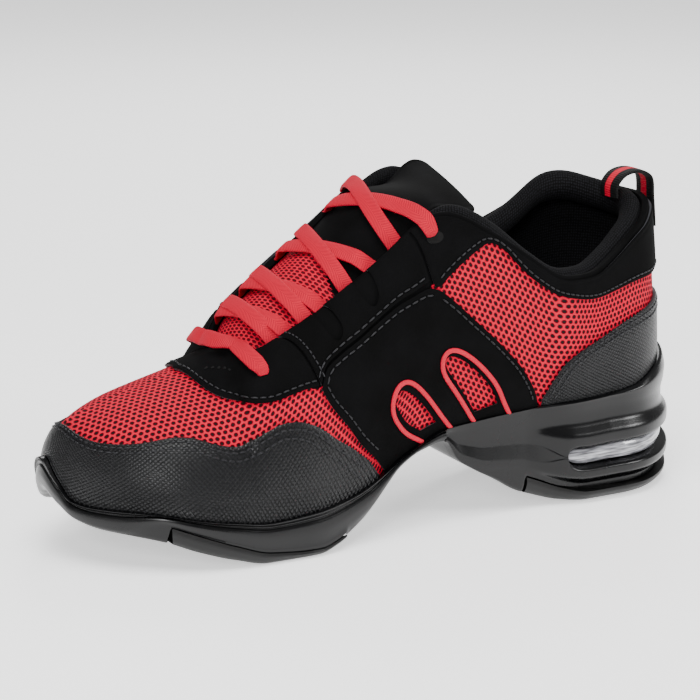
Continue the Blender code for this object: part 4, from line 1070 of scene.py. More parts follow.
eyestayNotches = [
    [(0.642, 0.985), (0.633, 0.820), (0.622, 0.690), (0.611, 0.645), (0.607, 0.700), (0.615, 0.820),
     (0.626, 0.985)],
    [(0.591, 0.985), (0.583, 0.840), (0.571, 0.720), (0.560, 0.680), (0.557, 0.735), (0.563, 0.840),
     (0.572, 0.985)],
]
eyestayRear = [(0.519, 0.985), (0.480, 0.632)]
eyestaySeam = [
    (0.480, 0.632), (0.502, 0.606), (0.532, 0.612), (0.558, 0.606), (0.584, 0.594), (0.611, 0.590),
    (0.634, 0.570), (0.6445, 0.500),
]
panelSeam = [
    (0.6445, 0.483), (0.633, 0.555), (0.611, 0.574), (0.584, 0.578), (0.558, 0.590), (0.532, 0.594),
    (0.502, 0.586), (0.478, 0.600), (0.462, 0.592),
]
panelRear = [
    (0.462, 0.592), (0.447, 0.574), (0.425, 0.548), (0.399, 0.512), (0.373, 0.472), (0.346, 0.420),
    (0.318, 0.345), (0.298, 0.255), (0.285, 0.165), (0.280, 0.105),
]
panelFront = [(0.556, 0.085), (0.584, 0.180), (0.608, 0.284), (0.632, 0.392), (0.6445, 0.483)]
panelWindows = [
    [(0.478, 0.058), (0.502, 0.112), (0.518, 0.185), (0.530, 0.245), (0.525, 0.268), (0.509, 0.245),
     (0.495, 0.208), (0.474, 0.148), (0.461, 0.102), (0.450, 0.062)],
    [(0.386, 0.080), (0.393, 0.116), (0.415, 0.206), (0.436, 0.268), (0.449, 0.306), (0.442, 0.338),
     (0.420, 0.335), (0.398, 0.302), (0.374, 0.246), (0.357, 0.186), (0.348, 0.115)],
]
collarEdge = [
    (0.462, 0.618), (0.456, 0.655), (0.445, 0.718), (0.432, 0.799), (0.419, 0.880), (0.409, 0.930),
    (0.396, 0.948), (0.378, 0.938), (0.362, 0.915), (0.336, 0.888), (0.295, 0.873), (0.257, 0.861),
    (0.217, 0.830), (0.174, 0.803), (0.129, 0.765), (0.087, 0.722), (0.040, 0.665), (0.010, 0.635),
]
collarFront = [(0.462, 0.618), (0.476, 0.634), (0.5155, 0.985)]
counterEdge = [
    (0.272, 0.110), (0.265, 0.165), (0.255, 0.255), (0.238, 0.371), (0.208, 0.456), (0.174, 0.505),
    (0.135, 0.530), (0.102, 0.528), (0.065, 0.520), (0.026, 0.505), (0.006, 0.498),
]
# the overlays' lower edges, below the sole's rim by this rise
rimMargin = -0.012
# where the outlines cross the middle of the toe and the heel, and where they start along the rim
capTip, capStart = 0.618, 0.548
stayApex, stayEnd = 0.821, 0.764
panelRim = (0.278, 0.543)
windowRounding = 12
bandBack, counterBack, counterEnd = 0.630, 0.496, 0.2725


def rimRun(start, end, count=60):
    turns = np.linspace(turnOf(start), turnOf(end), count)
    return np.stack([wayRound(turns), (rimRise(turns) + rimMargin) * planUp], -1)


def makeToeCap():
    left = drawToe([(-share, rise) for share, rise in toeCapEdge])
    top = np.vstack([left, [[0.0, capTip * planUp]], onSide(left[::-1], -1.0)])
    reach = halfWay - wayRound(turnOf(capStart))
    places = np.linspace(-reach, reach, 160)
    turns = np.copysign(turnAtWay(halfWay - np.abs(places)), places)
    rim = np.stack([places, (rimRise(turns) + rimMargin) * planUp], -1)
    loop = closeLoop([top, [top[-1], rim[-1]], rim[::-1], [rim[0], top[0]]])
    panel("toeCap", [loop], layToe, embossed, ["toe_cap"], doubleSeam)
    sewAlong(top, layToe, doubleSeam)


def drawRidge(points):
    # the second number is the way down from the ridge, minus on the inner side
    share, down = np.array(points, float).T
    return np.stack([wayRound(turnOf(share)), down * planUp], -1)


def makeStay():
    lateral = overRidge(drawRidge(stayEdge))
    apex, end = drawRidge([(stayApex, 0.0), (stayEnd, 0.0)])
    outer = np.vstack([lateral[::-1], [apex], overRidge(lateral)])
    throat = overRidge(drawRidge(stayThroat))
    inner = np.vstack([overRidge(throat), [end], throat[::-1]])
    loop = closeLoop([outer, [outer[-1], inner[0]], inner, [inner[-1], outer[0]]])
    panel("throatStay", [loop], layRidge, microfibre, ["throat_stay"])
    sewAlong(outer, layRidge, singleSeam)


def makeEyestay(side, name):
    runs = [drawRound(eyestayFront)]
    last = eyestayFront[-1]
    for notch in eyestayNotches:
        runs += [drawRound([last, notch[0]]), drawRound(notch)]
        last = notch[-1]
    runs += [drawRound([last, eyestayRear[0]]), drawRound(eyestayRear), drawRound(eyestaySeam)]
    loop = onSide(closeLoop(runs), side)
    panel(f"eyestay{name.title()}", [loop], layRound, microfibre, [f"eyestay_{name}"])
    for points in (eyestayFront, eyestaySeam):
        sewAlong(drawRound(points), layRound, [-singleSeam[0]], side)


def makeSidePanel(side, name):
    edges = [drawRound(points) for points in (panelFront, panelSeam, panelRear)]
    loops = [closeLoop(edges + [rimRun(*panelRim)])]
    for points in panelWindows:
        window = roundOff(softRun(drawRound(points)), windowRounding)
        loops.append(closeLoop([window, drawRound([points[-1], points[0]])]))
    loops = [onSide(loop, side) for loop in loops]
    panel(f"sidePanel{name.title()}", loops, layRound, microfibre, [f"side_panel_{name}"])
    for edge in edges:
        sewAlong(edge, layRound, [-singleSeam[0]], side)


def makeCollarBand():
    low = drawRound(collarEdge)
    front = drawRound(collarFront)
    lower = np.vstack([onSide(low, -1.0), [[0.0, bandBack * planUp]], low[::-1]])
    top = np.array([front[-1], onSide(front[-1], -1.0)])
    loop = closeLoop([lower, front, top, onSide(front[::-1], -1.0)])
    panel("collarBand", [loop], layRound, microfibre, ["collar_band"])
    sewAlong(lower, layRound, [-singleSeam[0]])


def makeCounter():
    high = drawRound(counterEdge)
    top = np.vstack([onSide(high, -1.0), [[0.0, counterBack * planUp]], high[::-1]])
    rim = rimRun(counterEnd, -counterEnd, 120)
    loop = closeLoop([top, [top[-1], rim[0]], rim, [rim[-1], top[0]]])
    panel("heelCounter", [loop], layRound, embossed, ["heel_counter"], doubleSeam)
    sewAlong(top, layRound, doubleSeam)


def strapPiece(name, path, outs, width, thick, material, nodes, sides=28, square=0.55, pinch=(0, 0)):
    # a flat band along the path, its ends drawn in over the lengths in pinch
    wide = unit(np.cross(np.gradient(path, axis=0), outs)) * (width / 2)
    lengths = lengthsAlong(path)
    for length, left in zip(pinch, (lengths, lengths[-1] - lengths)):
        if length:
            wide = wide * (0.45 + 0.55 * np.sqrt(np.clip(left / length, 0, 1)))[:, None]
    deep = unit(outs) * (thick / 2)
    cos, sin = circle(sides)
    cx = np.copysign(np.abs(cos) ** square, cos)
    sx = np.copysign(np.abs(sin) ** square, sin)
    rows = path[:, None] + wide[:, None] * cx[None, :, None] + deep[:, None] * sx[None, :, None]
    uv = np.stack(np.meshgrid(lengths, cx * width / 2, indexing="ij"), -1).reshape(-1, 2)
    piece = meshFrom(name, rows.reshape(-1, 3), tubeFaces(len(path), sides), uv)
    mergeAndFaceOut(piece, 2e-6)
    return finishPiece(piece, material, nodes, 60)


pipingLook = {"inset": 0.0014, "width": 0.0019, "thick": 0.0014, "lift": 0.0002}


def makePiping(side, name):
    look = pipingLook
    for points, letter in zip(panelWindows, "ab"):
        run = roundOff(softRun(drawRound(points)), windowRounding)
        run = roundOff(offsetRun(run, look["inset"] + look["width"] / 2), 6)
        for tip, inner in ((0, 4), (-1, -5)):
            # both ends run straight on to the sole's rim
            rim = (rimRise(turnAtWay(run[tip, 0])) + rimMargin + 0.012) * planUp
            way = run[tip] - run[inner]
            run[tip] = run[tip] + way * (rim - run[tip, 1]) / min(way[1], -1e-4)
        run = onSide(softRun(run), side)
        lift = panelTop + look["lift"]
        path = layRound(run, lift)
        outs = unit(layRound(run, lift + 0.001) - path)
        strapPiece(f"piping{name.title()}{letter.upper()}", path, outs, look["width"], look["thick"],
                   redCord, [f"piping_{name}_{letter}"], 16, 1.0)


backingLook = {"wider": 0.0040, "thick": 0.00036, "low": 0.00008, "highest": 0.992}


def makeBacking(side, name):
    # the black stay cloth under the eyelet tabs and their seams
    look = backingLook
    loop = closeLoop([drawRound(eyestayFront + eyestayRear), drawRound(eyestaySeam)])
    loop = offsetRun(loop, look["wider"] * np.sign(signedArea(loop)), closed=True)
    loop = roundOff(loop, 6, closed=True)
    loop[:, 1] = np.minimum(loop[:, 1], look["highest"] * planUp)
    panel(f"stayCloth{name.title()}", [onSide(loop, side)], layRound, microfibre, [], (),
          look["thick"], look["low"])


punchLook = {"radius": 0.00055, "sides": 30, "proud": 0.00006, "thick": 0.0004}
stayDots = [(0.786, 0.846), (0.779, 0.824), (0.772, 0.802), (0.765, 0.780), (0.758, 0.758)]
topEyelet = {"place": (0.480, 0.850), "radius": 0.0026}


def makeDiscs(name, lay, places, radius):
    # flat near-black discs a hair proud of a panel, painted shade that stands for punched holes
    sides = punchLook["sides"]
    ring = np.stack(circle(sides), -1) * radius
    points = []
    faces = []
    for number, place in enumerate(places):
        around = lay(place + ring, panelTop + punchLook["proud"])
        points += [*around, around.mean(axis=0)]
        start = number * (sides + 1)
        faces += [(start + i, start + (i + 1) % sides, start + sides) for i in range(sides)]
    piece = meshFrom(name, points, faces)
    thicken(piece, punchLook["thick"], 0)
    mergeAndFaceOut(piece, 1e-6)
    return finishPiece(piece, holeShade, (), 40)


def makePunches():
    dots = drawRidge([(share, 1 - rise) for share, rise in stayDots])
    makeDiscs("stayPunches", layRidge, np.vstack([dots, overRidge(dots)]), punchLook["radius"])
    place = drawRound([topEyelet["place"]])[0]
    for side, name in ((-1.0, "Lateral"), (1.0, "Medial")):
        makeDiscs(f"topEyelet{name}", layRound, [onSide(place, side)], topEyelet["radius"])


makeToeCap()
makeStay()
makePunches()
makeCollarBand()
makeCounter()
for side, name in ((-1.0, "lateral"), (1.0, "medial")):
    makeBacking(side, name)
    makeEyestay(side, name)
    makeSidePanel(side, name)
    makePiping(side, name)
makeStitches("seamStitches", thread)
print("overlays and stitches ready")


# Sole: side profiles swept round each half's edge

def atSide(turn, inset, z):
    point = edgeAt(turn) - edgeOut(turn) * np.asarray(inset)[..., None]
    point[..., 2] = z
    return point


def cutCorners(rows, share=0.16, times=2):
    for _ in range(times):
        a, b = rows[:, :-1], rows[:, 1:]
        mixed = np.stack([(1 - share) * a + share * b, share * a + (1 - share) * b], 2)
        mixed = mixed.reshape(rows.shape[0], -1, 3)
        rows = np.concatenate([rows[:, :1], mixed, rows[:, -1:]], axis=1)
    return rows


def turnsRound(first, end, count):
    # turns from one side of the shoe round its heel (0) or toe (1) to the same share on the other side
    half = np.linspace(turnOf(first), end, count)
    return np.concatenate([-half, half[-2::-1]])


def recessRows(turn):
    # down the wall that holds the upper, from the rim to the bed
    top = rimRise(turn)
    rows = [wallAt(turn, top * way, shoe["gap"]) for way in (1.0, 0.5, 0.0)]
    rows[0][..., 2] = rimAt(turn)
    rows[-1][..., 2] -= shoe["gap"]
    return rows


def sweptMidsole(name, turn, rows, cut, node):
    # the side's rows, then the rim and the recess, with flat cuts between the two halves; opposite
    # stations close the underside and the inside
    rows.append(atSide(turn, soleLook["rimInset"] * shoe["ribSwell"], rimAt(turn)))
    rows = np.stack(rows + recessRows(turn), 1)
    rows[[0, -1], :, 0] = heelBack - shoe["split"] * shoe["soleLength"] + cut
    rows = cutCorners(rows)
    stations, count = rows.shape[:2]
    faces = []
    for j in range(stations - 1):
        for k in range(count - 1):
            a = j * count + k
            faces.append((a, a + count, a + count + 1, a + 1))
    for k in (0, count - 1):
        for j in range(stations // 2):
            other = stations - 1 - j
            if j + 1 < other:
                faces.append((j * count + k, (j + 1) * count + k, (other - 1) * count + k, other * count + k))
    last = (stations - 1) * count
    for k in range(count - 1):
        faces.append((k, k + 1, last + k + 1, last + k))
    piece = meshFrom(name, rows.reshape(-1, 3), faces)
    mergeAndFaceOut(piece, 2e-6)
    return finishPiece(piece, foamRubber, [node], 42)


# rise, inset where there are ribs and where there are none (in swells), and 1 at the back of the slot
heelSide = [
    (0.000, 0.35, 0.30, 0), (0.080, 0.45, 0.20, 0), (0.150, -1.00, 0.10, 0), (0.255, -1.00, 0.15, 0),
    (0.285, -0.50, 0.20, 1), (0.475, -0.50, 0.45, 1), (0.505, -0.90, 0.50, 0), (0.640, -0.90, 0.55, 0),
    (0.740, 0.10, 0.50, 0), (0.880, 0.15, 0.40, 0), (1.000, -0.20, 0.25, 0),
]
# rise and inset
forefootSide = [
    (0.00, 0.90), (0.16, 0.30), (0.50, 0.00), (0.74, 0.15), (0.80, 0.45), (0.86, 0.12), (0.93, 0.30),
    (0.955, -0.05), (0.985, -0.10),
]
soleLook = {"heelPadEnd": 0.300, "padStart": 0.610, "padEnd": 0.880, "padStep": 0.008, "padFade": 0.06,
            "shoulder": 1.04, "underRim": 0.03, "rimInset": 0.15, "split": 0.00005}
# the slot's middle, bottom and top as shares of the side's height, and the length of its round end
slotLook = {"middle": 0.38, "bottom": 0.285, "top": 0.475, "round": 0.022, "thinnest": 0.12, "from": 0.25,
            "to": 0.51}
heelLook = {"ribsEnd": 0.30, "padFadeEnd": 0.38, "fade": 0.08, "under": 2.2, "overRibs": 0.55, "over": 0.2}
forefootLook = {"under": 2.0, "padInset": 0.72}


def padAt(turn):
    return alongSole(padThickness, 1, turn, shoe["padThick"])


def slotShape(share):
    # whether the slot is open and how much of its height it has: its front end is round
    end, long = shoe["slotEnd"], slotLook["round"]
    past = np.clip((share - (end - long)) / long, 0, 1)
    high = np.maximum(np.sqrt(1 - past**2), slotLook["thinnest"])
    return (share < end) * 1.0, np.maximum(high, ease((share - end + 0.004) / 0.05))


def shoulderAt(turn):
    # the top of the heel's side, below the rim
    lift = shoe["heelLift"]
    return np.minimum(rimAt(turn) - soleLook["underRim"] * lift, soleLook["shoulder"] * lift)


def makeHeelMidsole():
    look, swell = heelLook, shoe["ribSwell"]
    turn = turnsRound(shoe["split"], 0, 420)
    share = shareOf(turn)
    ribbedness = ease((look["ribsEnd"] - share) / look["fade"])
    slot, narrow = slotShape(share)
    padded = ease((soleLook["heelPadEnd"] - share) / soleLook["padStep"] + 0.5)
    low = bottomAt(turn) + padded * (padAt(turn) + shoe["gap"])
    high = shoulderAt(turn)
    spread = ease((look["padFadeEnd"] - share) / look["fade"])
    base = bottomAt(turn) + spread * (padAt(turn) + shoe["gap"])
    rows = [atSide(turn, look["under"] * swell, low)]
    solid = np.array([row for row in heelSide if not row[3]])
    for rise, ribbed, plain, deep in heelSide:
        middle = slotLook["middle"]
        atSlot = slotLook["from"] < rise < slotLook["to"]
        rise = middle + (rise - middle) * narrow if atSlot else np.full(len(turn), rise)
        if deep:
            ribbed, plain = [np.interp(rise, solid[:, 0], solid[:, i]) for i in (1, 2)]
        inset = (plain + (ribbed - plain) * ribbedness) * swell + deep * slot * shoe["airSlot"]
        rows.append(atSide(turn, inset, np.where(rise == 0, low, base + rise * (high - base))))
    inset = (look["over"] - look["overRibs"] * ribbedness) * swell
    rows.append(atSide(turn, inset, (high + rimAt(turn)) / 2))
    sweptMidsole("heelMidsole", turn, rows, soleLook["split"], "midsole_heel")


def makeForefootMidsole():
    swell = shoe["ribSwell"]
    turn = turnsRound(shoe["split"], 1, 230)
    share = shareOf(turn)
    start, end, step, fade = [soleLook[key] for key in ("padStart", "padEnd", "padStep", "padFade")]
    padded = ease((share - start) / step + 0.5) * ease((end - share) / step + 0.5)
    low = bottomAt(turn) + padded * (padAt(turn) + shoe["gap"])
    rim = rimAt(turn)
    spread = ease((share - start + fade) / fade) * ease((end + fade - share) / fade)
    base = bottomAt(turn) + spread * (padAt(turn) + shoe["gap"])
    rows = [atSide(turn, forefootLook["under"] * swell, low)]
    for rise, inset in forefootSide:
        inset = (inset - forefootLook["padInset"] * padded * (rise == 0)) * swell
        rows.append(atSide(turn, inset, base + rise * (rim - base) if rise else low))
    sweptMidsole("forefootMidsole", turn, rows, -soleLook["split"], "midsole_forefoot")


treadLook = {"grooveWidth": 0.0018, "grooveDepth": 0.0016, "pivot": 0.014, "pivotShare": 0.696,
             "heelGrooves": (0.055, 0.085, 0.215, 0.240, 0.262),
             "foreGrooves": (0.640, 0.755, 0.785, 0.815, 0.845), "rimShare": 0.16, "grooveFade": 0.06,
             "columns": 420, "rows": 160}
# inset in swells and rise in pad thicknesses, from the pad's top edge down round its corner
padSide = np.array([(0.22, 1.0), (0.10, 0.70), (0.45, 0.28), (0.85, 0.08), (1.20, 0.0)])


def makePad(name, start, end, grooves, node, wrapsHeel):
    # the pad's skin from its top edge on one side, under the foot, to its top edge on the other
    look = treadLook
    rimShare, half = look["rimShare"], look["grooveWidth"] / 2
    pivotTurn = turnOf(look["pivotShare"])
    middle = edgeAt(pivotTurn) / 2 + edgeAt(-pivotTurn) / 2

    def place(u, v):
        turn = turnOf(end) * u if wrapsHeel else turnOf(start + (end - start) * u)
        share = shareOf(turn)
        swollen = ease((0.25 - share) / 0.06) * shoe["ribSwell"] * wrapsHeel
        way = np.abs(2 * v - 1)
        t = np.clip((1 - way) / rimShare, 0, 1)
        steps = np.linspace(0, 1, len(padSide))
        inset = np.interp(t, steps, padSide[:, 0]) * shoe["ribSwell"] - swollen * (1 - ease(t))
        left = atSide(-turn, inset, 0 * turn)
        right = atSide(turn, inset, 0 * turn)
        across = np.clip((v - rimShare / 2) / (1 - rimShare), 0, 1)
        point = np.where((way > 1 - rimShare)[:, None], np.where((v < 0.5)[:, None], left, right),
                         left * (1 - across)[:, None] + right * across[:, None])
        groove = sum(np.exp(-np.abs((share - g) * shoe["soleLength"] / half) ** 6) for g in grooves)
        if not wrapsHeel:
            ring = np.abs(np.hypot(point[:, 0] - middle[0], point[:, 1] - middle[1]) - look["pivot"])
            groove = np.maximum(groove, np.exp(-(ring / half) ** 4))
        fade = ease(np.minimum(across, 1 - across) / look["grooveFade"])
        z = bottomAt(turn) + np.interp(t, steps, padSide[:, 1]) * padAt(turn)
        point[:, 2] = z + np.clip(groove, 0, 1) * look["grooveDepth"] * fade
        return point

    piece = laidGrid(name, look["columns"], look["rows"], place)
    edit(piece, lambda: bpy.ops.mesh.select_all(action="DESELECT"),
         lambda: bpy.ops.mesh.select_non_manifold(), lambda: bpy.ops.mesh.edge_face_add())
    mergeAndFaceOut(piece)
    return finishPiece(piece, treadRubber, [node], 45)


makeHeelMidsole()
makeForefootMidsole()
makePad("forefootTread", 0.6135, 0.8755, treadLook["foreGrooves"], "outsole_forefoot", False)
makePad("heelTread", 0.0, 0.2965, treadLook["heelGrooves"], "outsole_heel", True)


def makeCushion():
    swell, gap = shoe["ribSwell"], shoe["gap"]
    turn = turnsRound(shoe["slotEnd"] - 0.0025, 0, 220)
    base = bottomAt(turn) + padAt(turn) + gap
    high = shoulderAt(turn)
    narrow = slotShape(shareOf(turn))[1]
    middle = slotLook["middle"]
    bottom = base + (middle + (slotLook["bottom"] - middle) * narrow) * (high - base) + gap
    top = base + (middle + (slotLook["top"] - middle) * narrow) * (high - base) - gap
    depth = shoe["airSlot"] - 0.5 * swell - gap
    # inset and share of the height, from the bottom at the back round the bulge to the top at the back
    profile = [(depth, 0.0), (0.35 * swell, 0.0), (0.05 * swell, 0.33),
               (0.05 * swell, 0.67), (0.35 * swell, 1.0), (depth, 1.0)]
    rows = [atSide(turn, inset, bottom + (top - bottom) * way) for inset, way in profile]
    rows = cutCorners(np.stack(rows, 1))
    piece = meshFrom("clearCushion", rows.reshape(-1, 3), tubeFaces(*rows.shape[:2]))
    mergeAndFaceOut(piece, 2e-6)
    finishPiece(piece, clearPlastic, ["air_cushion"], 50)


makeCushion()
print("sole ready")


# Tongue, collar roll, pull loop and laces

def catmull(control, count, closed):
    # dense points along axis 0 of the control rows
    n = len(control)
    at = np.linspace(0, n if closed else n - 1, count, endpoint=not closed)
    i = np.minimum(at.astype(int), n - 1 if closed else n - 2)
    t = (at - i).reshape((-1,) + (1,) * (control.ndim - 1))

    def pick(k):
        return control[(i + k) % n] if closed else control[np.clip(i + k, 0, n - 1)]

    return softStep(pick(-1), pick(0), pick(1), pick(2), t)


def denseLoft(name, control, along, around, material, nodes, corner=0.0):
    # a closed skin through the control sections, the corners of its last end rounded by corner
    rows = catmull(control, along, False)
    rows = np.swapaxes(catmull(np.swapaxes(rows, 0, 1), around, True), 0, 1)
    if corner:
        middle = rows.mean(axis=1, keepdims=True)
        left = np.linalg.norm(middle[:, 0] - middle[-1, 0], axis=-1)
        half = np.linalg.norm(rows[-1] - middle[-1], axis=-1).max()
        past = np.clip(1 - left / corner, 0, 1)
        rows = middle + (rows - middle) * (1 - corner / half * (1 - np.sqrt(1 - past**2)))[:, None, None]
    girth = np.linalg.norm(np.diff(rows, axis=1), axis=2).sum(axis=1).max()
    uv = np.meshgrid(lengthsAlong(rows.mean(axis=1)), np.linspace(0, girth, around), indexing="ij")
    uv = np.stack(uv, -1).reshape(-1, 2)
    piece = meshFrom(name, rows.reshape(-1, 3), tubeFaces(along, around), uv)
    mergeAndFaceOut(piece, 2e-6)
    return finishPiece(piece, material, nodes, 60)


throat = {"arch": 0.13, "flank": 0.22}
tongueLook = {"thick": 0.005, "edgeThinner": 0.55, "meshEnd": 0.598, "flatFrom": 0.70, "flatOver": 0.04,
              "deeper": 0.8, "deepFrom": 0.715, "deepOver": 0.02, "lean": 0.15, "freeStep": 0.03,
              "along": 200, "around": 120, "corner": 0.007, "topSlope": 0.1}
tongueSteps = np.array([-1.3, -1.15, -1.0, -0.55, 0.0, 0.55, 1.0, 1.15, 1.3])
tongueUnder = (0.815, 0.790, 0.766)
tongueOpen = (0.742, 0.720, 0.690, 0.650, 0.610, 0.570, 0.535, 0.505)
# along, lateral across and up, medial across and up, skew, arch
tongueFree = [
    (0.430, -0.190, 1.062, 0.170, 1.098, 0.004, 0.100),
    (0.385, -0.175, 1.050, 0.186, 1.152, 0.016, 0.060),
    (0.338, -0.150, 1.020, 0.190, 1.178, 0.034, 0.025),
]


def overThroat(share, t):
    # places and outward ways over the open throat: t runs from -1 to 1 across it and on down the flanks
    share, t = np.broadcast_arrays(np.asarray(share, float), np.asarray(t, float))
    way = turnOf(share)
    side = np.copysign(way, np.where(t == 0, 1, t))
    rise = 1 - throat["flank"] * np.maximum(np.abs(t) - 1, 0)
    beyond = surfaceAt(side, rise)
    beyondOut = outAt(side, rise)
    left, right = topLine(-way), topLine(way)
    chord = right - left
    step = 0.01
    ahead = (topLine(-turnOf(share + step)) + topLine(turnOf(share + step))) / 2
    behind = (topLine(-turnOf(share - step)) + topLine(turnOf(share - step))) / 2
    out = unit(np.cross(chord, ahead - behind))
    out = out * np.where(out[..., 2:] < 0, -1, 1)
    edge = outAt(side, 1.0)
    tt = t[..., None]
    length = np.linalg.norm(chord, axis=-1, keepdims=True)
    point = (left + right) / 2 + chord * (tt / 2) + out * (throat["arch"] * length * (1 - tt * tt))
    mixed = unit(out * (1 - tt * tt) + edge * tt * tt)
    off = (np.abs(t) > 1)[..., None]
    return np.where(off, beyond, point), np.where(off, beyondOut, mixed)


def makeTongue():
    look = tongueLook
    clear = shoe["wall"] + 2 * shoe["gap"]
    steps = np.abs(tongueSteps)
    count = len(steps)
    thick = look["thick"] * (1 - look["edgeThinner"] * np.minimum(steps, 1.0) ** 2)
    sections = []

    def close(points, outs, drops):
        upper = points - outs * np.asarray(drops)[:, None]
        sections.append(np.vstack([upper, (upper - outs * thick[:, None])[::-1]]))

    for share in tongueUnder:
        turn = np.copysign(turnOf(share), np.where(tongueSteps == 0, 1, tongueSteps))
        rise = 1 - throat["flank"] * steps
        close(surfaceAt(turn, rise), outAt(turn, rise), np.full(count, clear))
    for share in tongueOpen:
        points, outs = overThroat(share, tongueSteps)
        low = ease((share - look["flatFrom"]) / look["flatOver"])
        deeper = 1 + look["deeper"] * ease((share - look["deepFrom"]) / look["deepOver"])
        close(points, outs, clear * deeper * np.maximum(np.minimum(steps, 1.0) ** 2, low))
    wide, high = shoe["ballWidth"], shoe["collarHeight"]
    centre = shoe["centreShare"] * wide
    for along, left, leftUp, right, rightUp, skew, arch in tongueFree:
        x = heelBack - along * shoe["soleLength"]
        skewed = heelBack - (along + skew) * shoe["soleLength"]
        lateral = np.array([x, left * wide - centre, leftUp * high])
        medial = np.array([skewed, right * wide - centre, rightUp * high])
        chord = medial - lateral
        out = unit(np.cross(chord, [-1, 0, look["lean"]]))
        out = out * (-1 if out[2] < 0 else 1)
        way = (tongueSteps / tongueSteps[-1])[:, None]
        arched = out * (arch * np.linalg.norm(chord) * (1 - way**2))
        points = (lateral + medial) / 2 + chord * (way / 2) + arched
        close(points, np.tile(out, (count, 1)), np.zeros(count))
    control = np.array(sections)
    stations = look["along"]
    pad = denseLoft("tonguePad", control, stations, look["around"], liner, ["tongue"],
                    look["corner"])
    pad.data.materials.append(tongueMesh)
    pad.data.materials.append(microfibre)
    # its top face is mesh under the laces and microfibre at the free end, the rest is lining
    free = tuple(tongueOpen[-1] - look["freeStep"] * (i + 1) for i in range(len(tongueFree)))
    rowShare = np.interp(np.linspace(0, len(sections) - 1, stations), np.arange(len(sections)),
                         tongueUnder + tongueOpen + free)
    centre, facing = np.empty((2, len(pad.data.polygons) * 3))
    pad.data.polygons.foreach_get("center", centre)
    pad.data.polygons.foreach_get("normal", facing)
    middles = catmull(control, stations, False).mean(axis=1)
    nearest = np.abs(centre.reshape(-1, 3)[:, None, 0] - middles[None, :, 0]).argmin(axis=1)
    onTop = np.where(rowShare[nearest] > look["meshEnd"], 1, 2)
    index = np.where(facing.reshape(-1, 3)[:, 2] > look["topSlope"], onTop, 0)
    pad.data.polygons.foreach_set("material_index", index)


rollLook = {"width": 0.009, "height": 0.012, "front": 0.512, "raise": 0.0022, "innerRaise": 0.0084,
            "lobeShare": 0.33, "lobeFade": 0.06, "lobeEnd": 0.05, "wing": 0.0052, "wingShare": 0.15,
            "wingWidth": 0.07, "taper": 0.10, "endWide": 0.45, "endHigh": 0.60, "sunk": 0.45, "points": 12}


def makeCollarRoll():
    look = rollLook
    front = float(turnOf(look["front"]))
    turns = np.linspace(-front, front, 81)
    left = front - np.abs(turns)
    full = ease(left / look["taper"])
    lobe = ease((np.abs(turns) - turnOf(look["lobeShare"])) / look["lobeFade"]) * ease(left / look["lobeEnd"])
    wide = look["width"] / 2 * (look["endWide"] + (1 - look["endWide"]) * full)
    high = look["height"] / 2 * (look["endHigh"] + (1 - look["endHigh"]) * full)
    top = surfaceAt(turns, 1.0)
    out = outAt(turns, 1.0)
    up = unit(top - surfaceAt(turns, 0.95))
    inward = shoe["wall"] + 2 * shoe["gap"] + wide
    centre = top - out * inward[:, None] - up * (high * look["sunk"])[:, None]
    centre += up * (lobe * (look["raise"] + look["innerRaise"] * (turns > 0)))[:, None]
    wing = np.exp(-((shareOf(turns) - look["wingShare"]) / look["wingWidth"]) ** 2) * (turns > 0)
    centre += up * (wing * look["wing"])[:, None]
    control = np.stack([centre + out * (wide * cos)[:, None] + up * (high * sin)[:, None]
                        for cos, sin in zip(*circle(look["points"]))], 1)
    roll = denseLoft("collarRoll", control, 420, 48, liner, ["collar_roll"])


# shares of the loop's height back and up from the collar's edge
loopPath = [(-1.42, 0.00), (-1.40, 0.50), (-1.00, 0.90), (-0.35, 0.98), (0.20, 0.70)]
loopLook = {"width": 0.012, "height": 0.010, "webbing": 0.0016, "leg": (0.985, 0.94, 0.88, 0.82)}


def makePullLoop():
    top = topLine(np.array([0.0]))[0]
    path = [top + np.array([back, 0, up]) * loopLook["height"] for back, up in loopPath]
    lift = shoe["overlay"] + 3 * shoe["gap"] + loopLook["webbing"] / 2
    path += [wallAt(np.array([0.0]), np.array([rise]), np.array([lift]))[0] for rise in loopLook["leg"]]
    path = catmull(np.array(path), 90, False)
    way = np.gradient(path, axis=0)
    outs = np.stack([-way[:, 2], 0 * way[:, 0], way[:, 0]], -1)
    strapPiece("pullLoop", path, outs, loopLook["width"], loopLook["webbing"], webbing, ["pull_loop"])


# over is how far an upper band rises over a lower one, in thicknesses
laceShape = {"width": 0.0065, "thick": 0.0016, "steps": 70, "dive": 0.0040, "reach": 1.66, "topShare": 0.484,
             "over": 0.55, "flatter": 0.92, "topPinch": 0.007, "endDip": 0.0020, "diveFrom": 0.72,
             "diveOver": 0.30, "stayFrom": 0.55, "stayOver": 0.4, "dipOver": 0.14}
barLook = {"reach": 2.35, "steps": 90, "share": 0.722, "bow": 0.024, "bowReach": 2.2, "dipFrom": 2.1,
           "dipOver": 0.25, "pinch": 0.006}
# shares at which each crossing's band starts and ends
crossings = [(0.695, 0.676), (0.649, 0.627), (0.597, 0.566), (0.536, 0.500)]


def diveAt(out):
    # how far a band has gone down under the eyestay
    return ease((out - laceShape["diveFrom"]) / laceShape["diveOver"]) * laceShape["dive"]


def laceRun(low, high, direction, raised):
    t = np.linspace(-1.0, 1.0, laceShape["steps"])
    share = low + (high - low) * (1 + direction * t) / 2
    points, outs = overThroat(share, t)
    base = 3 * shoe["gap"] + laceShape["thick"] / 2
    way = np.clip(np.abs(t), 0, 1)
    lift = base + (raised * laceShape["over"] * (1 - way) ** 0.5 + 0.5 * t * t) * laceShape["thick"]
    lift -= diveAt(np.abs(t))
    return points + outs * lift[:, None], outs


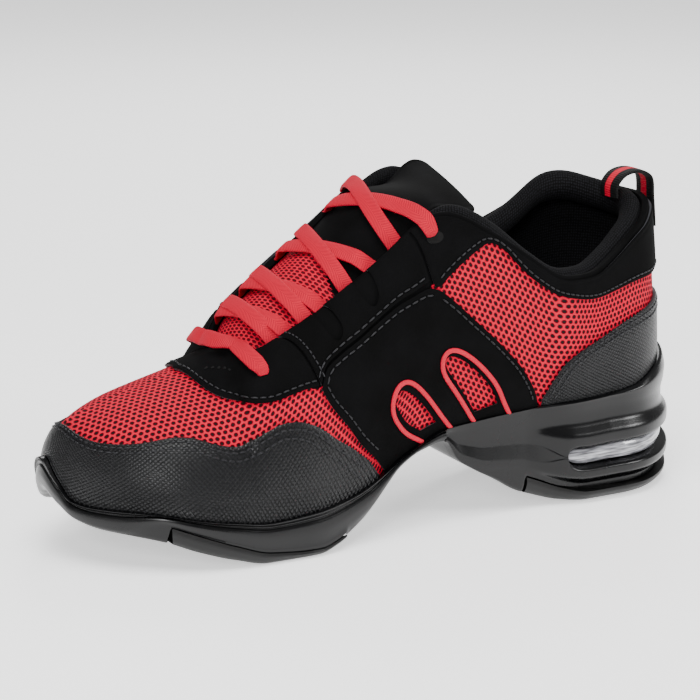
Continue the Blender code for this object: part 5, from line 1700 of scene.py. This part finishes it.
def topLaceRun(side):
    # the band that runs out over the eyestay to the top eyelet on this side
    t = side * np.linspace(-1.0, laceShape["reach"], laceShape["steps"])
    low = crossings[-1][0]
    share = low + (laceShape["topShare"] - low) * np.linspace(0.0, 1.0, laceShape["steps"])
    points, outs = overThroat(share, t)
    out = np.abs(t) * (side * t > 0)
    lift = 3 * shoe["gap"] + laceShape["thick"] / 2
    onStay = ease((out - laceShape["stayFrom"]) / laceShape["stayOver"])
    lift = lift + onStay * (shoe["overlay"] + shoe["gap"])
    dip = laceShape["dipOver"]
    lift -= ease((out - laceShape["reach"] + dip) / dip) * laceShape["endDip"]
    lift -= diveAt(-side * t)
    return points + outs * lift[:, None], outs


def makeLaces():
    thick, gap = laceShape["thick"], shoe["gap"]
    flatter = thick * laceShape["flatter"]
    for number, (low, high) in enumerate(crossings, 1):
        isTop = number == len(crossings)
        for label, direction, raised in (("under", -1, 0), ("over", 1, 1)):
            if isTop:
                path, outs = topLaceRun(direction)
                path = path + outs * (raised * laceShape["over"] * thick)
            else:
                path, outs = laceRun(low, high, direction, raised)
            strapPiece(f"lace{number}{label.title()}", path, outs, laceShape["width"], flatter, laceCord,
                       [f"lace_cross_{number}"], pinch=(0, laceShape["topPinch"] * isTop))
    look = barLook
    t = np.linspace(-look["reach"], look["reach"], look["steps"])
    share = look["share"] + look["bow"] * (1 - np.minimum(np.abs(t) / look["bowReach"], 1.0) ** 2)
    points, outs = overThroat(share, t)
    dip = ease((np.abs(t) - look["dipFrom"]) / look["dipOver"]) * laceShape["endDip"]
    lift = 5 * gap + shoe["overlay"] + thick / 2 - dip
    strapPiece("laceBar", points + outs * lift[:, None], outs, laceShape["width"], thick, laceCord,
               ["lace_bar"], pinch=(look["pinch"], look["pinch"]))


makeTongue()
makeCollarRoll()
makePullLoop()
makeLaces()
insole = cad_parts["insole"]
insole.data.materials.clear()
insole.data.materials.append(liner)
print("tongue, collar and laces ready")


# Floor, light and camera

studio = {"azimuth": -28.0, "elevation": 14.8, "distance": 0.992, "sensor": 36, "lens": 36 * 2600 / 700,
          "target": (-0.00825, -0.00184, 0.0642), "world": 0.32, "floorGlow": 0.85}
# name, place, size and power
lights = [
    ("overheadSoft", (-0.2, -0.3, 1.2), 0.8, 17),
    ("frontKey", (-0.9, -1.0, 0.75), 0.40, 10),
    ("heelSide", (0.9, -0.7, 0.5), 0.30, 6),
    ("backEdge", (0.5, 0.9, 0.8), 0.5, 7),
]


def makeFloor():
    deselect()
    bpy.ops.mesh.primitive_plane_add(size=8, location=(0, 0, -0.0002))
    floor = bpy.context.object
    floor.name = "floor"
    material = newMaterial("paperSweep")
    dressed(material, None, None, Base_Color=linear("#fcfcfc"), Roughness=0.95, Emission_Color=(1, 1, 1, 1),
            Emission_Strength=studio["floorGlow"])
    floor.data.materials.append(material)


def addLight(name, place, size, power, target=(0, 0, 0.05)):
    deselect()
    bpy.ops.object.light_add(type="AREA", location=place)
    light = bpy.context.object
    light.name = name
    light.data.size = size
    light.data.energy = power
    way = Vector(target) - Vector(place)
    light.rotation_euler = way.to_track_quat("-Z", "Y").to_euler()


def makeStudio():
    world = bpy.data.worlds.new("studio")
    bpy.context.scene.world = world
    world.use_nodes = True
    background = world.node_tree.nodes["Background"]
    background.inputs["Color"].default_value = (1, 1, 1, 1)
    background.inputs["Strength"].default_value = studio["world"]
    for light in lights:
        addLight(*light)
    a, e = math.radians(studio["azimuth"]), math.radians(studio["elevation"])
    back = Vector((math.sin(a) * math.cos(e), -math.cos(a) * math.cos(e), math.sin(e)))
    deselect()
    bpy.ops.object.camera_add(location=Vector(studio["target"]) + back * studio["distance"])
    camera = bpy.context.object
    camera.name = "photoCamera"
    camera.rotation_euler = (-back).to_track_quat("-Z", "Y").to_euler()
    camera.data.lens = studio["lens"]
    camera.data.sensor_width = studio["sensor"]
    bpy.context.scene.camera = camera


makeFloor()
makeStudio()
print("studio ready")
